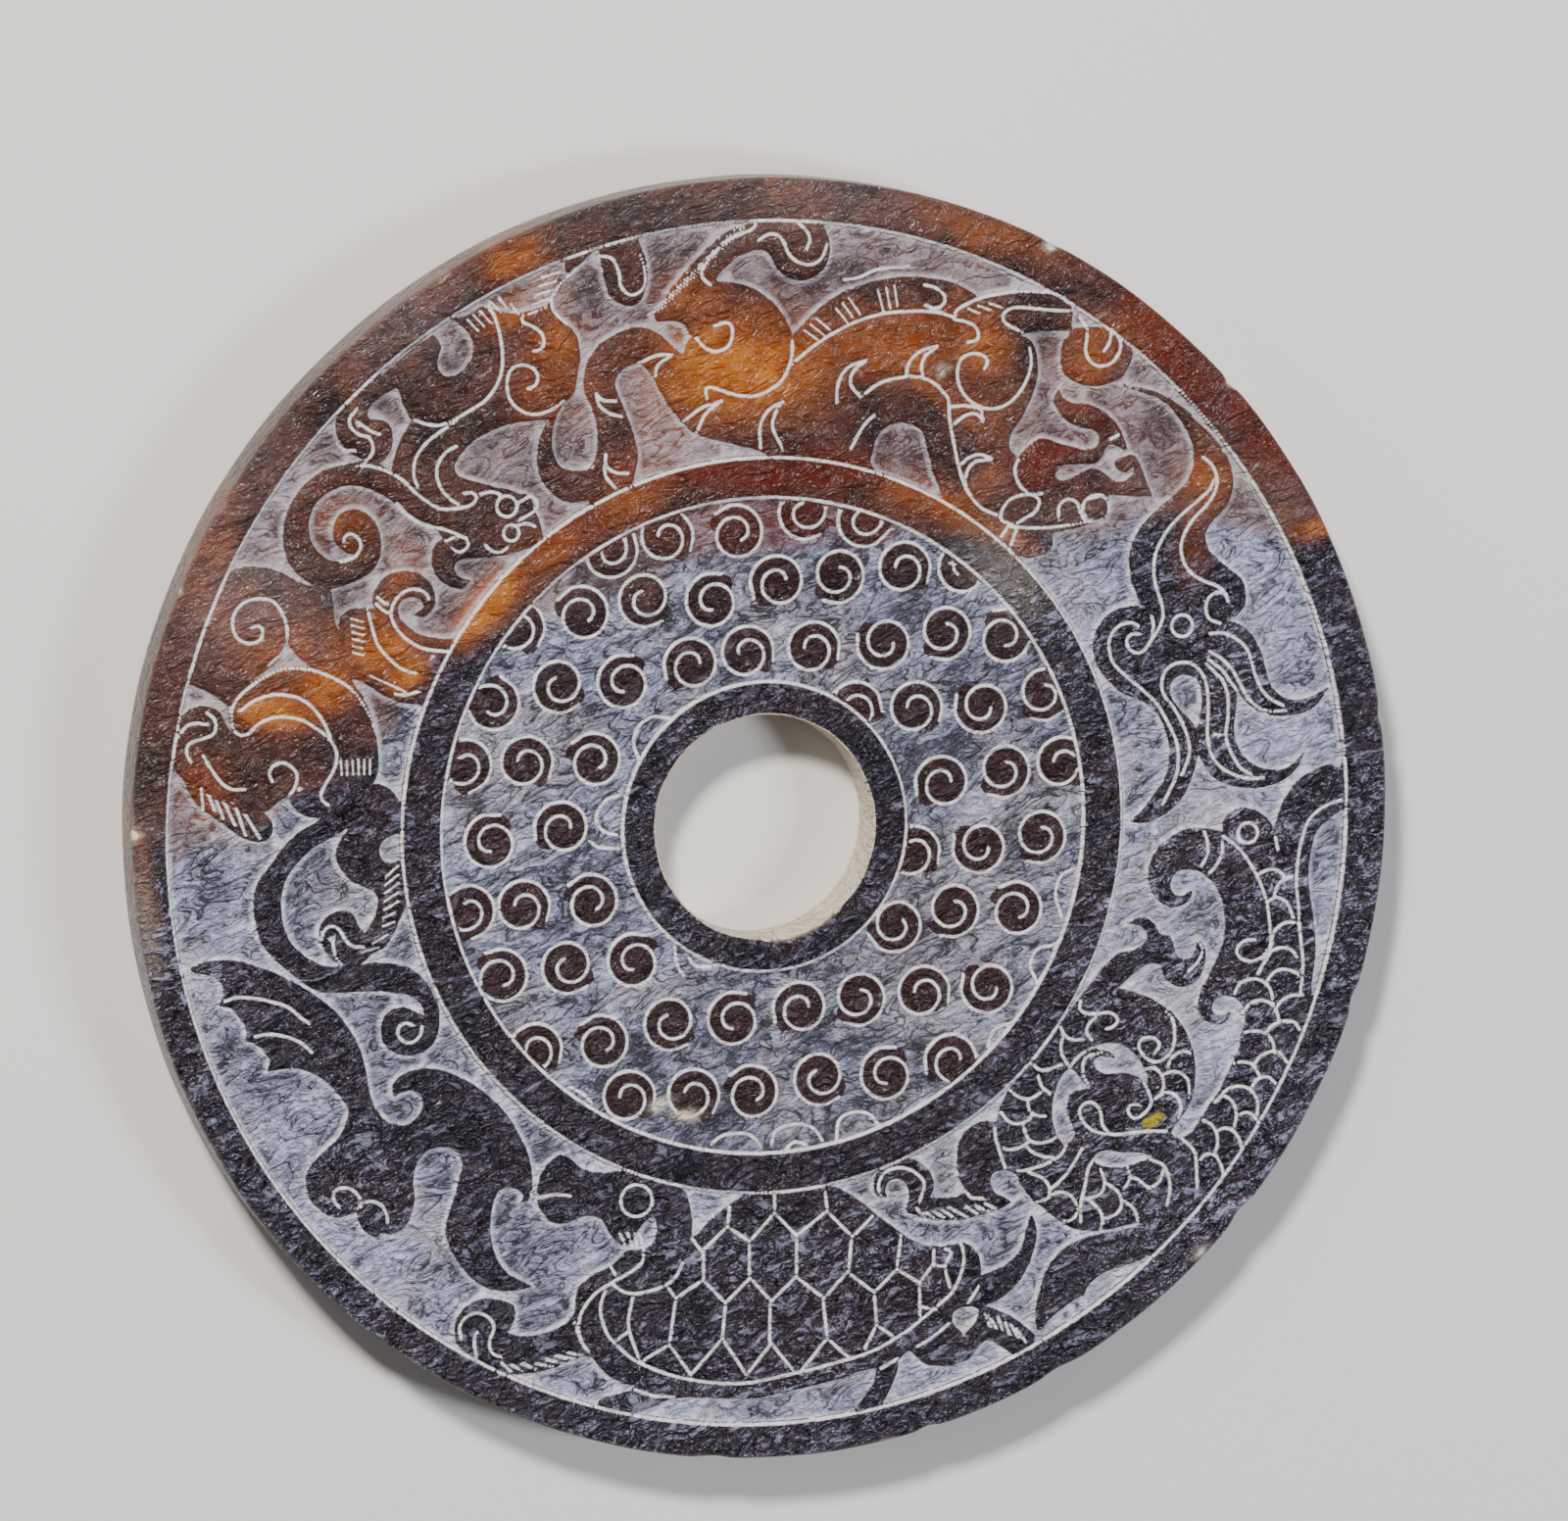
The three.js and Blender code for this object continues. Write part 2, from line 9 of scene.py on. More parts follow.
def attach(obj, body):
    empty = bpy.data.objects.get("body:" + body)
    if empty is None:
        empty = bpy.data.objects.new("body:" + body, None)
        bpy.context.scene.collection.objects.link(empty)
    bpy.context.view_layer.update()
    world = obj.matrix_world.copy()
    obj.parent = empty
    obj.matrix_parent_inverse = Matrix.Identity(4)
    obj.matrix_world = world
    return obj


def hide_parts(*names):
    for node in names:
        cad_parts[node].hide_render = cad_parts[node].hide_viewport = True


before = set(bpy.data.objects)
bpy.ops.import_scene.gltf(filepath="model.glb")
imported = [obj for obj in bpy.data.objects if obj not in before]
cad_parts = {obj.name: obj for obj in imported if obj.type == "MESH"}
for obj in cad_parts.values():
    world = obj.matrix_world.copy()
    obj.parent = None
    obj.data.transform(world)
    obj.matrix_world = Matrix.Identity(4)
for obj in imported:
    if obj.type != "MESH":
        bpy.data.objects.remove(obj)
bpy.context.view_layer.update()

bl_info = {
    "name": "Jade bi disc",
    "version": (1, 0, 0),
    "blender": (4, 5, 0),
    "location": "View3D > Sidebar > Bi disc",
    "description": "A carved jade disc with beasts round its rim and grain curls inside, lying face up",
    "category": "Object",
}

MM = 0.001

# Sizes below are in mm, from the middle of the cut rings and the bore, unless a comment says otherwise.
# Where the rings' middle stands from the middle of the outline.
RINGS_X, RINGS_Y = -0.6, -0.6
THICKNESS = 10
OUTLINE_RADIUS = 99.3
BORE_RADIUS = 17.3
BEVEL = 0.75
RIM_LINE = 93.3
RING_OUTER = 56.98
RING_INNER = 50.83
COLLAR = 22.45
RINGS = (RIM_LINE, RING_OUTER, RING_INNER, COLLAR)

# A grain's line starts this far from its middle and grows outward over its turn, in degrees.
CURL_START, CURL_GROWTH, CURL_POWER, CURL_TURN = 1.3, 3.2, 1.6, 583
GRAIN_RADIUS = 4.75

# A cut line's floor reaches this far from its middle, and its lip this far.
CUT_FLOOR, CUT_LIP = 0.05, 0.46
# Rows of points run beside each line at this distance, and points closer than the gap are merged.
ROW_OFFSET, POINT_GAP = 0.42, 0.26
# How many points go round the outer edge and round the bore.
RIM_POINTS, BORE_POINTS = 640, 180
# Distances to a line or an edge are kept up to here.
FAR = 2.5

# The walls, ring by ring from the carved face to the back: how far the wall stands out of the face's
# edge (or, in the bore, how far in), and how far down.
OUTER_WALL = ((0.30, 0.10), (0.58, 0.30), (0.75, 0.62), (0.80, 2.2), (0.82, 5.0), (0.80, 8.0),
              (0.75, 9.40), (0.55, 9.72), (0.0, 9.96))
BORE_WALL = ((0.2, 0.15), (0.34, 0.5), (0.40, 2.0), (0.42, 5.0), (0.40, 8.0), (0.34, 9.5), (0.1, 9.96))

# The camera, from the photo's outlines: the way from the rings' middle to the eye, how far in metres, and
# the lens. The rings' middle stands left of and below the picture's middle, so the aim is moved by pixels.
CAMERA_WAY = (-0.2360, 0.1265, 0.9635)
CAMERA_DISTANCE = 1.575
CAMERA_LENS, SENSOR_WIDTH = 235.2, 36
AIM_RIGHT, AIM_UP, PIXELS_PER_METRE = 19.0, 67.7, 6635.6

# Lights, in metres and watts: name, place, width and height, power, colour.
LIGHTS = (
    ("key_light", (-0.60, 0.95, 1.10), (0.26, 0.20), 42, (1.0, 0.96, 0.90)),
    ("fill_light", (1.1, -0.3, 0.9), (0.22, 0.36), 17, (0.90, 0.94, 1.0)),
    ("back_light", (-1.3, 0.1, 0.5), (0.6, 0.8), 5, (1.0, 0.97, 0.95)),
)
ROOM_COLOUR, ROOM_STRENGTH = (0.86, 0.88, 0.92, 1), 0.07

# Ground sunk between the beasts. Each pocket is a list of smooth runs of x, y, x, y that meet in corners.
GROUND = {
    "over_tiger": [
        (-7.8, 84.2, -6.3, 86.2, -4, 88, -1.2, 88.9, 0.4, 88.6, 1.4, 87.2, 2.3, 85.6, 4, 84.5, 6, 84.1, 8.3, 84.9,
         9.7, 86.6, 10.2, 88.8, 9.8, 91, 8.3, 94),
        (20, 93, 32, 90, 42, 85.5, 48.3, 80.6),
        (44.5, 81.6, 40, 81.8, 36.5, 81.5, 33.8, 80.9),
        (31, 82.6, 28, 83.6, 24, 84.1, 20, 84, 16, 83.2, 12, 81.8, 9, 79.9, 6.3, 77.4, 4.4, 75.4),
        (3.8, 76.8, 2.6, 79, 0.5, 81.3, -2, 82.9, -5, 83.8),
    ],
    "tail_side": [
        (-2.5, 93.4, -6, 91.5, -9, 89, -12, 86, -14.5, 83, -16, 80.5, -17.3, 79.2),
        (-16.8, 78.2, -15, 78.3, -13, 77.9, -12, 76.8, -11.2, 75.6),
        (-12, 75, -12.8, 72.9),
        (-14.3, 73.9, -16, 75.6, -18, 76.8, -20, 77.2, -22.5, 76.6, -25, 75.3, -27, 73.3, -28.1, 71, -28.2, 67.8,
         -27, 65, -26.2, 62, -26.1, 59.5, -26.6, 57, -27.8, 55.7, -29.5, 55.4, -31, 55.7, -32.4, 56.4, -33.2, 58,
         -33.5, 60, -33.3, 62, -32.5, 64.5, -31.5, 66, -30, 67.5, -29.5, 70, -29, 73, -29.5, 76, -31, 77.8,
         -33, 79.8, -33.5, 81.5, -32.5, 84, -30.5, 86, -28, 88, -25.5, 90.5),
    ],
    "leg_drop": [
        (-19.5, 71.8, -21.5, 71.5, -23.2, 70, -23.6, 68.5, -23, 66.8, -22, 64.5, -21, 62, -20.3, 59.5, -20, 57.5,
         -20.5, 55, -21, 52),
        (-10, 54, 0, 55, 0.5, 57.5),
        (-2, 58.5, -4, 59, -8, 60, -11, 61, -13, 62.8, -15.5, 66, -17.5, 70),
    ],
    "leg_gap": [
        (17, 55, 17, 57.5, 17.5, 59.5, 19, 61.2, 21.5, 62, 24, 61.3, 25.2, 60, 26, 57, 26.8, 54, 27.5, 52.3,
         28.3, 50),
        (22, 50),
    ],
    "throat": [
        (41.3, 75.4, 42.3, 73.8, 43, 72, 43.2, 69.5, 42.8, 67, 41.8, 64.5, 40.5, 62, 39.2, 60.3, 38.7, 58.8,
         38.9, 57.2, 40.2, 55.8),
        (40.7, 56.5, 42, 57.8, 44, 58.8, 46, 58.3, 49, 57.4, 51.5, 56.9, 52.9, 57.6, 53.3, 59, 52.5, 60.1,
         50.8, 60.5, 48.8, 61.2, 47.3, 62.4, 46.3, 63.8, 46, 65, 46.7, 66.3),
        (47.3, 65.1, 49, 64.2, 51, 64, 53.2, 63.2, 55, 61.8, 56.3, 60.2, 57.2, 58.2, 57.9, 56.3, 58.9, 55.7,
         59.8, 54.2, 60.5, 52.3, 61.6, 49.7),
        (58, 49.8, 54.6, 50.1, 54.8, 48.8, 54.6, 47, 53.4, 46, 51, 45.4, 48, 44.8, 45.6, 44.2, 45.7, 42.5,
         44.6, 41.2, 42.5, 40.8, 38.5, 41),
        (45, 33, 50, 24, 52.5, 20, 54.5, 14, 56, 5, 56.3, -1.6, 58, -1.2),
        (60.5, 0.8, 62.8, 3.8, 64.2, 6, 64.8, 8.5, 64.6, 11.5, 63.5, 14.5, 61.5, 17.2, 57, 19.3, 54.5, 21.5,
         53.3, 23.3, 52.5, 25.5, 52.5, 27.5, 53.2, 29.5, 54.5, 31, 56.5, 32.2, 58.5, 32.5, 60.3, 32.2),
        (59.6, 33.8, 58.7, 36, 58.2, 38.5, 58.3, 41, 59.2, 43.5, 60.8, 45.8, 63, 47.8, 65.5, 49.7, 67.3, 51.6,
         68.3, 54, 68.4, 56.8, 67.5, 59.3, 66, 61.8, 64, 64, 61.2, 65.5, 57.2, 66.7),
        (60.5, 66.2, 64, 64.8, 68, 62, 71.5, 58.8, 74, 56),
        (70, 62, 64, 69, 57, 75, 48, 81, 46, 82),
        (48.9, 79.2),
        (48.3, 74.7, 47.5, 74, 47.2, 72.5, 47.2, 70, 48, 68.5, 50, 67.4, 52.5, 67, 55, 67.4, 56.8, 68.3, 57.5, 69.5,
         58.2, 71, 58.3, 72.5, 57.3, 74.3, 55.6, 76),
    ],
    "mouth_tiger": [
        (46, 53.4, 46.3, 52.6, 47.5, 52.2, 49, 52.7, 51, 53.7, 52.3, 54, 53.8, 53.4, 55, 52.3, 56.5, 51.8, 58, 52.5,
         58.9, 53.8, 58.7, 54.8),
        (57.8, 53.6, 56.7, 53.6, 55.7, 54.6, 56, 55.4, 57.5, 55.8, 58.8, 56.2),
        (57.3, 57, 56.3, 57.5, 54.9, 57.9, 54.1, 57.2, 53.6, 56, 52.4, 55, 50.5, 54.9, 48.5, 55, 46.8, 54.6),
    ],
    "dragon_edge": [
        (-60, 70.6, -57.5, 72.6, -54.5, 74.9, -51.8, 76.6),
        (-50.6, 75, -51.2, 73.2, -51.2, 71.8, -50.6, 70.7, -49.3, 70.2, -47.5, 70.8, -46, 72.4, -45.4, 74.4,
         -45.8, 76.2, -47, 77.8, -48.6, 79.2),
        (-46.5, 79.5, -44, 80.8, -42, 80.2, -39, 79.6),
        (-37.2, 80, -34.3, 80.8, -32.5, 82.5, -31, 85, -31.5, 88.5),
        (-40, 87, -50, 81, -58, 75.5),
    ],
    "wedge": [
        (-57.2, 68.8, -58.7, 68.3, -60.1, 67.5, -61.5, 66.3, -62.1, 64.8, -61.5, 64, -59.7, 63.8, -58.6, 62.9,
         -58.2, 61.4, -58.4, 59.6, -59.2, 58.3, -60.5, 57.3),
        (-58.3, 56),
        (-57.8, 58, -57.2, 59.8, -56.5, 61.4, -54.9, 63.7),
        (-55.6, 64.7, -56.4, 66.3),
    ],
    "behind_dragon": [
        (-66.2, 66.9, -66.7, 65, -66.8, 63, -66.5, 61.5, -65.7, 60.1, -64.4, 59, -62.4, 58),
        (-64, 57.4, -66.5, 57, -69, 56.2, -71.5, 54.5, -73.5, 52, -74.6, 49.3, -75, 46.5, -74.6, 43.6, -73.3, 41.3,
         -71.3, 39.7, -69, 38.7),
        (-71.5, 39, -74, 40.2, -77, 41.6, -80, 42, -83, 41.4, -87, 39),
        (-90, 42, -80, 56, -70, 68),
    ],
    "mane": [
        (-46.5, 59.8, -47.8, 58.3, -48.6, 56.8, -48.4, 55.6, -47.3, 54.8, -45, 54, -42.5, 53.3, -40.5, 52.9,
         -38.7, 52.2),
        (-36.8, 51.6, -36.2, 49.6, -35.4, 48, -34.8, 45),
        (-30, 45, -27, 48, -27.6, 51.2),
        (-30, 50.8, -32, 51.3, -33.5, 52.5, -34.8, 54.2, -35.5, 56.5, -35.5, 59, -34.8, 61.5, -33.6, 63.6),
        (-36, 63.5, -39, 63.2, -42, 62.4, -44.6, 61.2),
    ],
    "dragon_neck": [
        (-57.2, 50.9, -55.5, 49.5, -53.5, 48.2, -51.5, 47.2, -50.2, 45.7),
        (-51.6, 44.6, -52, 42.8, -51.7, 40.7, -50.6, 39.2, -49, 38.3, -47.5, 38.1, -46.2, 39.1),
        (-47.6, 39.4, -48.6, 40.4, -48.6, 41.7, -47.3, 42.6, -45, 42.7, -41, 43, -36, 44.2),
        (-33, 43, -41, 36, -47, 27, -48.8, 30.1),
        (-51, 30.3, -53.5, 30.8, -55.7, 32, -57.2, 33.7, -57.5, 35.3, -56.7, 36.6, -55.2, 37, -53.8, 36.4,
         -53.3, 35.2, -54.7, 34.1),
        (-53.3, 33.9, -52.1, 35, -51.7, 36.5, -52.1, 38.2, -53.4, 39.8, -55.5, 40.7, -58, 40.5, -59.8, 39.5,
         -61, 37.8, -61.2, 36.2, -60.9, 35.2),
        (-63.5, 35.3, -65, 35, -66.2, 33.8, -66.6, 31),
        (-67.3, 33.5, -67.6, 36, -67.9, 38.4),
        (-66, 38.9, -64, 39.6, -62, 40.6, -60.7, 42, -60.1, 44, -60.2, 46.2, -61, 48.4, -62.5, 49.8, -64.5, 50.4,
         -66.3, 49.5, -67.3, 47.7, -67, 45.6, -65.5, 44.1, -63.9, 43.5),
        (-65.2, 42.6, -67.5, 42.5, -69.7, 43.9, -71, 46, -71.2, 48.8, -70.2, 51.3, -68, 53.3, -65, 54.2, -62, 53.7,
         -59.5, 52.6),
    ],
    "curl_foot": [
        (-74.7, 31, -75.1, 29.3, -76.5, 27.3, -79, 25.6, -81.6, 24),
        (-79.5, 24.7, -77.5, 25.7, -75, 26.4, -72.5, 26.6, -70.3, 26.3),
        (-72.5, 28, -74, 29.6),
    ],
    "nape": [
        (-93, 21, -91, 24.5, -88.5, 24, -86, 22.8, -83.6, 21),
        (-83.4, 18.5, -82.6, 16.6),
        (-84, 17.8, -85.2, 20, -87.3, 20.9, -89.5, 20.5, -91.1, 19, -92, 16.6),
    ],
    "gate": [
        (-64.8, 24.6, -62.7, 24, -60.8, 22.8, -58.8, 21.6, -56.5, 20.8, -52.5, 20.3),
        (-54.5, 12, -55.3, 4),
        (-57, 5.2, -58, 6.5, -59, 7.6, -60.3, 8.2, -61.6, 8.2),
        (-60.8, 9.9, -60.6, 12.1, -60.8, 14.7, -61.2, 17.2, -62, 19.7, -63.2, 22),
    ],
    "chest": [
        (-61.7, 7.8, -62.4, 6.2, -63.5, 4.2, -65.1, 2.3, -66.8, 0.9, -68.8, 0, -70.8, -1.1, -72.7, -2.8, -74.2, -4.5,
         -75.3, -6.5, -75.8, -8.7, -75.8, -10.7, -75.3, -13.5, -74.2, -15.8, -72.5, -17.5, -70.5, -18.9,
         -68.2, -19.6, -66.2, -19.4),
        (-67.4, -18.6, -68.5, -17.5, -69.4, -15.9, -69.8, -14.2, -69.2, -12.6, -67.8, -11.4, -66, -11, -64.9, -11.4,
         -64.2, -12.6, -63.6, -13.8, -62.7, -14.5),
        (-61.7, -13, -60.9, -11.3, -60.6, -9.4, -61.3, -8.1, -62.9, -7.3, -64.8, -6.3, -66.2, -4.8, -67, -3,
         -67, -1.5, -66.2, 0.2, -64.4, 2.4, -63, 4.6),
    ],
    "lens": [
        (-56, 0.6, -58.8, 0.4, -60.4, -1, -60.5, -2.6, -59.7, -3.7, -58.2, -3.9, -56, -3.2),
    ],
    "wing_side": [
        (-95, 12, -91.2, 10.6, -90, 8.5, -88.5, 6, -86.5, 4.4, -84, 2.6, -82, 1, -80.5, 0.4, -79, 0.1, -77.6, 0.6,
         -77.1, 1.8, -77.3, 3.2, -78.4, 4.5),
        (-77, 5.4, -75.8, 6.4, -74.7, 6.9),
        (-74, 5.6, -73.1, 4.7, -72, 4, -70.9, 3.6, -69.3, 3.5),
        (-70.5, 2.5, -72.7, 1.4, -74.7, -0.3, -76.1, -2, -77.5, -4, -79, -5.9, -79.8, -7.9, -79.9, -10.4, -79.5, -13,
         -78.7, -15.5, -77, -17.7, -75, -19.6, -72.7, -21.5, -70.6, -22.9, -68.5, -23.4, -64.4, -23.4, -61.6, -23.4,
         -58.8, -23.6, -55.8, -24.3, -54, -25.8, -53.4, -27.7),
        (-54.8, -27, -56.5, -26.3, -58.2, -26.4, -59.6, -27.4, -60.2, -29, -59.9, -31.4, -58.2, -33, -56, -33.5,
         -53.7, -33, -52.3, -31.9, -51.5, -30.2, -51.3, -28.3, -51.4, -26.3, -52.3, -24, -53.7, -22, -55.5, -20.4,
         -58, -19.5, -61, -19.2, -63.4, -19.4),
        (-61.8, -17.7, -59.8, -16.7, -58.4, -14.7, -57.5, -12.7, -55.5, -8.5),
        (-54, -14, -50, -23, -45, -31, -38, -39.5, -30, -46, -19.5, -53.2),
        (-23, -52.8, -25, -53, -27, -52.9, -29, -52.2, -30.5, -50.9, -32, -50, -33.6, -50.7, -35, -52.3,
         -35.8, -54.4, -35.9, -56.6),
        (-37, -56.4),
        (-36.8, -54.3, -37, -51.5, -37.8, -48.7, -39.2, -46, -40.9, -43.2, -43, -41, -45.6, -38.8, -48.1, -37.3,
         -50.6, -36.3, -53.2, -35.8, -55.4, -36, -57.3, -36.8, -58.5, -38),
        (-58.4, -39.7, -57.2, -39.2, -55.7, -38.9, -54.4, -39.4, -53.7, -40.6, -53.8, -42.1, -54.8, -43.5,
         -56.5, -44.4, -58.5, -44.2, -60.2, -43.2, -61.4, -41.5, -62.2, -39.3, -62.7, -36.3, -63.3, -33.7,
         -64.4, -30.8, -66, -28.3, -67.8, -26.2, -69.4, -24.8, -71.2, -23.4, -73.6, -21.9, -76.5, -20.4,
         -79.5, -19.2, -82.3, -18.3, -85.2, -18, -88, -18.4, -92.5, -20.5),
    ],
    "wing_tips": [
        (-93, -19, -88.8, -19.8, -86.5, -20.3, -85, -21.5, -84.6, -23.2, -85.3, -24.9),
        (-83.8, -25.2, -82.4, -26.5, -81.3, -28.2, -81.2, -30.3),
        (-79.8, -30.9, -78.5, -32, -77.5, -33.5, -77.9, -35.2),
        (-75.7, -34.9, -73.4, -34.9, -71.2, -35.6, -69, -37, -67, -39, -65.6, -41, -65.3, -42.2, -66, -44.3,
         -67.3, -46.3, -69.5, -48.3, -71.2, -50, -72, -51.5, -71.9, -53.6, -71.2, -55.6, -69.8, -57, -68.4, -57.9,
         -66.4, -58.1, -64.2, -57.3),
        (-64, -58.6, -63.2, -60.2, -61.8, -61.2, -60.3, -61.5, -58, -61),
        (-57, -66, -58, -75),
        (-68, -66, -80, -52, -90, -32),
    ],
    "neck": [
        (-61, -61.6, -59, -61.2, -56.8, -60, -55.8, -58.2, -55.3, -55.7, -55.5, -53.2, -55, -50.6, -53.6, -48.6,
         -51.4, -47.9, -49.4, -48.1, -48, -49.2, -47.6, -51.2, -48.3, -53.4, -48.8, -55.7, -49.7, -58.2, -50.3, -61,
         -49.7, -63.3, -48.3, -65.8, -46.6, -68.1, -44, -70, -41.5, -70.6, -39.3, -70.6, -37, -70.2),
        (-39.3, -69, -41, -67.8, -42.4, -65.6, -43.2, -63.3, -43.5, -60.5, -43, -57.1, -42, -55.1, -40.4, -54.6,
         -38.7, -55.1, -38, -56.1, -38.5, -57),
        (-37.6, -56.8, -36.9, -55.6),
        (-35.6, -56),
        (-35.8, -57.2, -35, -58.8, -33.6, -60.2, -31.9, -60.5, -30.5, -60.2, -29.1, -59.6, -27.4, -59.5, -26, -59.9,
         -25, -61.3, -24, -63, -22.6, -64.2, -21.5, -64.8),
        (-23.5, -67, -25.4, -68.1, -27.4, -69, -29.1, -70.4, -29.9, -72.3, -29.9, -74, -30.8, -75.7, -32.8, -76.9,
         -35, -77.7, -37.6, -78, -39.5, -77.8, -40.8, -77.3),
        (-39.9, -75.6, -39.5, -74.3, -40.1, -72.9, -41.5, -72.3, -43.2, -71.9, -44.9, -71.9, -46.6, -72.6,
         -47.9, -73.7, -48.7, -75.4, -48.8, -78, -47.7, -79.5, -45.5, -81.5),
        (-52, -80, -62, -72),
    ],
    "under_comb": [
        (-42.5, -83, -40, -83.6, -38, -83.6, -35, -83.3, -33, -82.8, -30.8, -81.9, -28.5, -81.3, -27.4, -81.6,
         -26, -83.3, -24.3, -84.8, -22.3, -85.9, -20.4, -86.2),
        (-21.2, -87.1, -23, -87.6, -26, -88.4, -27.5, -91),
        (-36, -88.5),
    ],
    "beak_throat": [
        (-19.9, -61.8, -18.7, -60.4, -17.4, -60.1, -17, -61.8, -17.3, -63.6, -18.4, -64.8, -20.4, -65.3, -22.5, -65),
        (-21, -63.6),
    ],
    "shell_front": [
        (-14, -54.6, -12.6, -56.6, -11.9, -58.8, -11.6, -61.4, -11.8, -63.9),
        (-10.7, -63.3, -9.3, -61.6, -7.3, -60, -5, -58.4, -2.5, -57.3, 1, -56.6),
        (0, -55.5, -8, -54.5),
    ],
    "rim_strip": [
        (-20.5, -91.2, -18, -89.8, -15, -88.7, -10.7, -88.5, -5, -89, -0.8, -89, 3.4, -88.3, 7.6, -87.5, 11.9, -86.6,
         15.2, -85.6, 18, -85.1),
        (17.5, -87.4, 16.4, -89.4, 15.2, -90.8, 13.8, -93),
        (0, -94.5, -12, -94),
    ],
    "hoof_strip": [
        (21.4, -84.2, 23, -82.7, 24.2, -83.5, 25.4, -84.7, 27.8, -85.3, 30.4, -85.2, 32.6, -84.4, 34, -82.9,
         35.5, -81.6, 37.2, -82.2, 38.7, -83.2, 40.8, -84.5),
        (32, -90, 18, -94),
        (18.8, -91, 19.8, -89, 20.7, -87, 21.2, -85.6),
    ],
    "knob": [
        (31.4, -80.2, 30.3, -79.2, 29.9, -78, 30.1, -77, 31, -76.3, 33, -76.1, 34.2, -76.6, 34.2, -78, 33.1, -79.5,
         31.8, -80.9),
    ],
    "shell_back": [
        (9, -55.6, 12, -57, 14, -58.2, 16, -59.7, 18, -61.4, 20.5, -63.3, 23, -65.2, 25.5, -66.2, 28, -66.6,
         30, -66.5, 31.5, -66.2, 32.8, -66.6, 33.8, -67.7, 34.4, -69.2, 34.6, -71.4),
        (36.5, -70.9, 38.5, -70.1, 40.2, -68.8, 41.2, -67.2, 41.8, -65.2, 42.7, -62.2),
        (43.3, -63.6, 43.5, -65.5, 43, -67.5, 42.3, -69.8, 41.2, -71.8, 39.8, -73.5, 37.8, -75, 34.9, -76.2),
        (36.5, -76.8, 38.5, -77.6, 40.5, -78.8, 42.3, -80.3, 44.5, -82.6),
        (43.8, -80, 43.5, -78, 43.7, -76, 44.3, -73.8, 45, -71.5, 46.3, -69.5, 48, -67.8, 50, -66.7, 52.5, -66,
         55, -65.6, 57.5, -65.2, 60, -64.5, 62, -63.6),
        (60, -63.9, 57.5, -64.4, 55, -64.9, 52.5, -65, 50.5, -64.8, 48.5, -64, 46.5, -62.7, 45, -61.3, 43.6, -60.3,
         42.3, -58.9, 41, -57, 40, -55.4, 38, -54.9, 36.4, -55.4, 36, -56.6, 36.5, -58.2, 38, -59.2, 39.4, -60),
        (37, -61.2, 34, -61.9, 31, -62.4, 28, -62.3, 25.5, -61.9, 23, -61),
        (22.7, -60.4, 23.1, -58.6, 22.9, -57, 22.2, -55.9, 21, -55.5, 19.8, -55.9, 19.2, -57, 19.3, -58.5),
        (18, -58.2, 17.5, -57, 17.7, -55.4, 18.7, -54, 20.2, -53.1, 22, -52.7, 24, -52.9, 25.6, -54, 26.7, -55.7,
         26.9, -57.2, 26.3, -58.8),
        (28, -59.1, 30, -59, 32.6, -58.2),
        (31.8, -57.2, 31.2, -56, 30.9, -54.3, 30.8, -52.3, 31.1, -50.6, 31.8, -49.2, 33, -48, 34.8, -47.2,
         37.2, -47.5),
        (37.5, -45.8, 38.6, -43.3, 42, -38.6),
        (38, -40.5, 30, -46.8, 22, -51, 10, -54.6),
    ],
    "coil_gap": [
        (42.8, -82.8, 44.8, -79.6, 46.5, -78, 48.5, -76.5, 50, -75.6, 51.2, -75.1),
        (51.8, -73.8, 53.5, -72.2, 55.5, -71.3, 57.7, -70.7, 60, -70, 61.5, -69.2),
        (62, -71.5, 52, -79, 46, -82.5),
    ],
    "crescent": [
        (52.6, -53.9, 53.2, -52.8, 54.9, -52.4, 57.1, -52.8, 59.4, -52.8, 61, -53.2, 62.3, -53.7),
        (61.2, -54.3, 59.9, -54.7, 58.5, -55.2, 56.5, -55.4, 54.5, -55.1, 53.2, -54.6),
    ],
    "tusk": [
        (48.9, -39.3, 47.3, -40.6, 46.3, -43, 45.9, -45.5, 46.1, -48, 46.7, -50, 48, -51.8),
        (49.3, -50.7, 49.8, -49.3, 49, -47.5, 48.5, -45.5, 48.8, -43.8, 49.9, -43.1, 52.3, -42.6),
        (51.4, -41.8, 50.5, -40.6),
    ],
    "hook_gap": [
        (51.3, -36.5, 53, -35.8, 55, -35.5, 57, -35.7, 58.7, -36.7, 60, -38.1, 61, -39.8, 61.6, -41.5, 61.2, -42.6),
        (60.2, -41.4, 58.8, -40.7, 57, -40.4, 55.2, -40.6, 53.8, -40.3, 52.8, -39.4, 52.5, -38.5, 53, -37.8,
         54, -37.5, 56.1, -38),
        (55.4, -37.2, 54, -36.7),
    ],
    "chin": [
        (92.7, 7.3, 90.5, 7, 88, 6, 86, 5, 84.3, 3.2, 83, 1, 82.3, -1, 81.8, -2.8),
        (80.8, -1.6, 79.5, -0.4, 78, 0.3, 76, 0.5, 74.5, -0.2, 73.6, -1.3, 73.4, -3),
        (71.5, -2.7, 69.5, -2.3, 67, -2.6, 64.5, -4, 62.5, -6, 61.6, -8.3, 61.6, -10.5, 62.5, -12.8, 64.3, -14.3,
         66.3, -14.5, 68, -13.5, 68.4, -12.2),
        (66.7, -13, 65.3, -12.5, 64.8, -11, 65.7, -9.2, 67.5, -8.7, 69.5, -9, 71, -10, 72.3, -11.5, 73.5, -14,
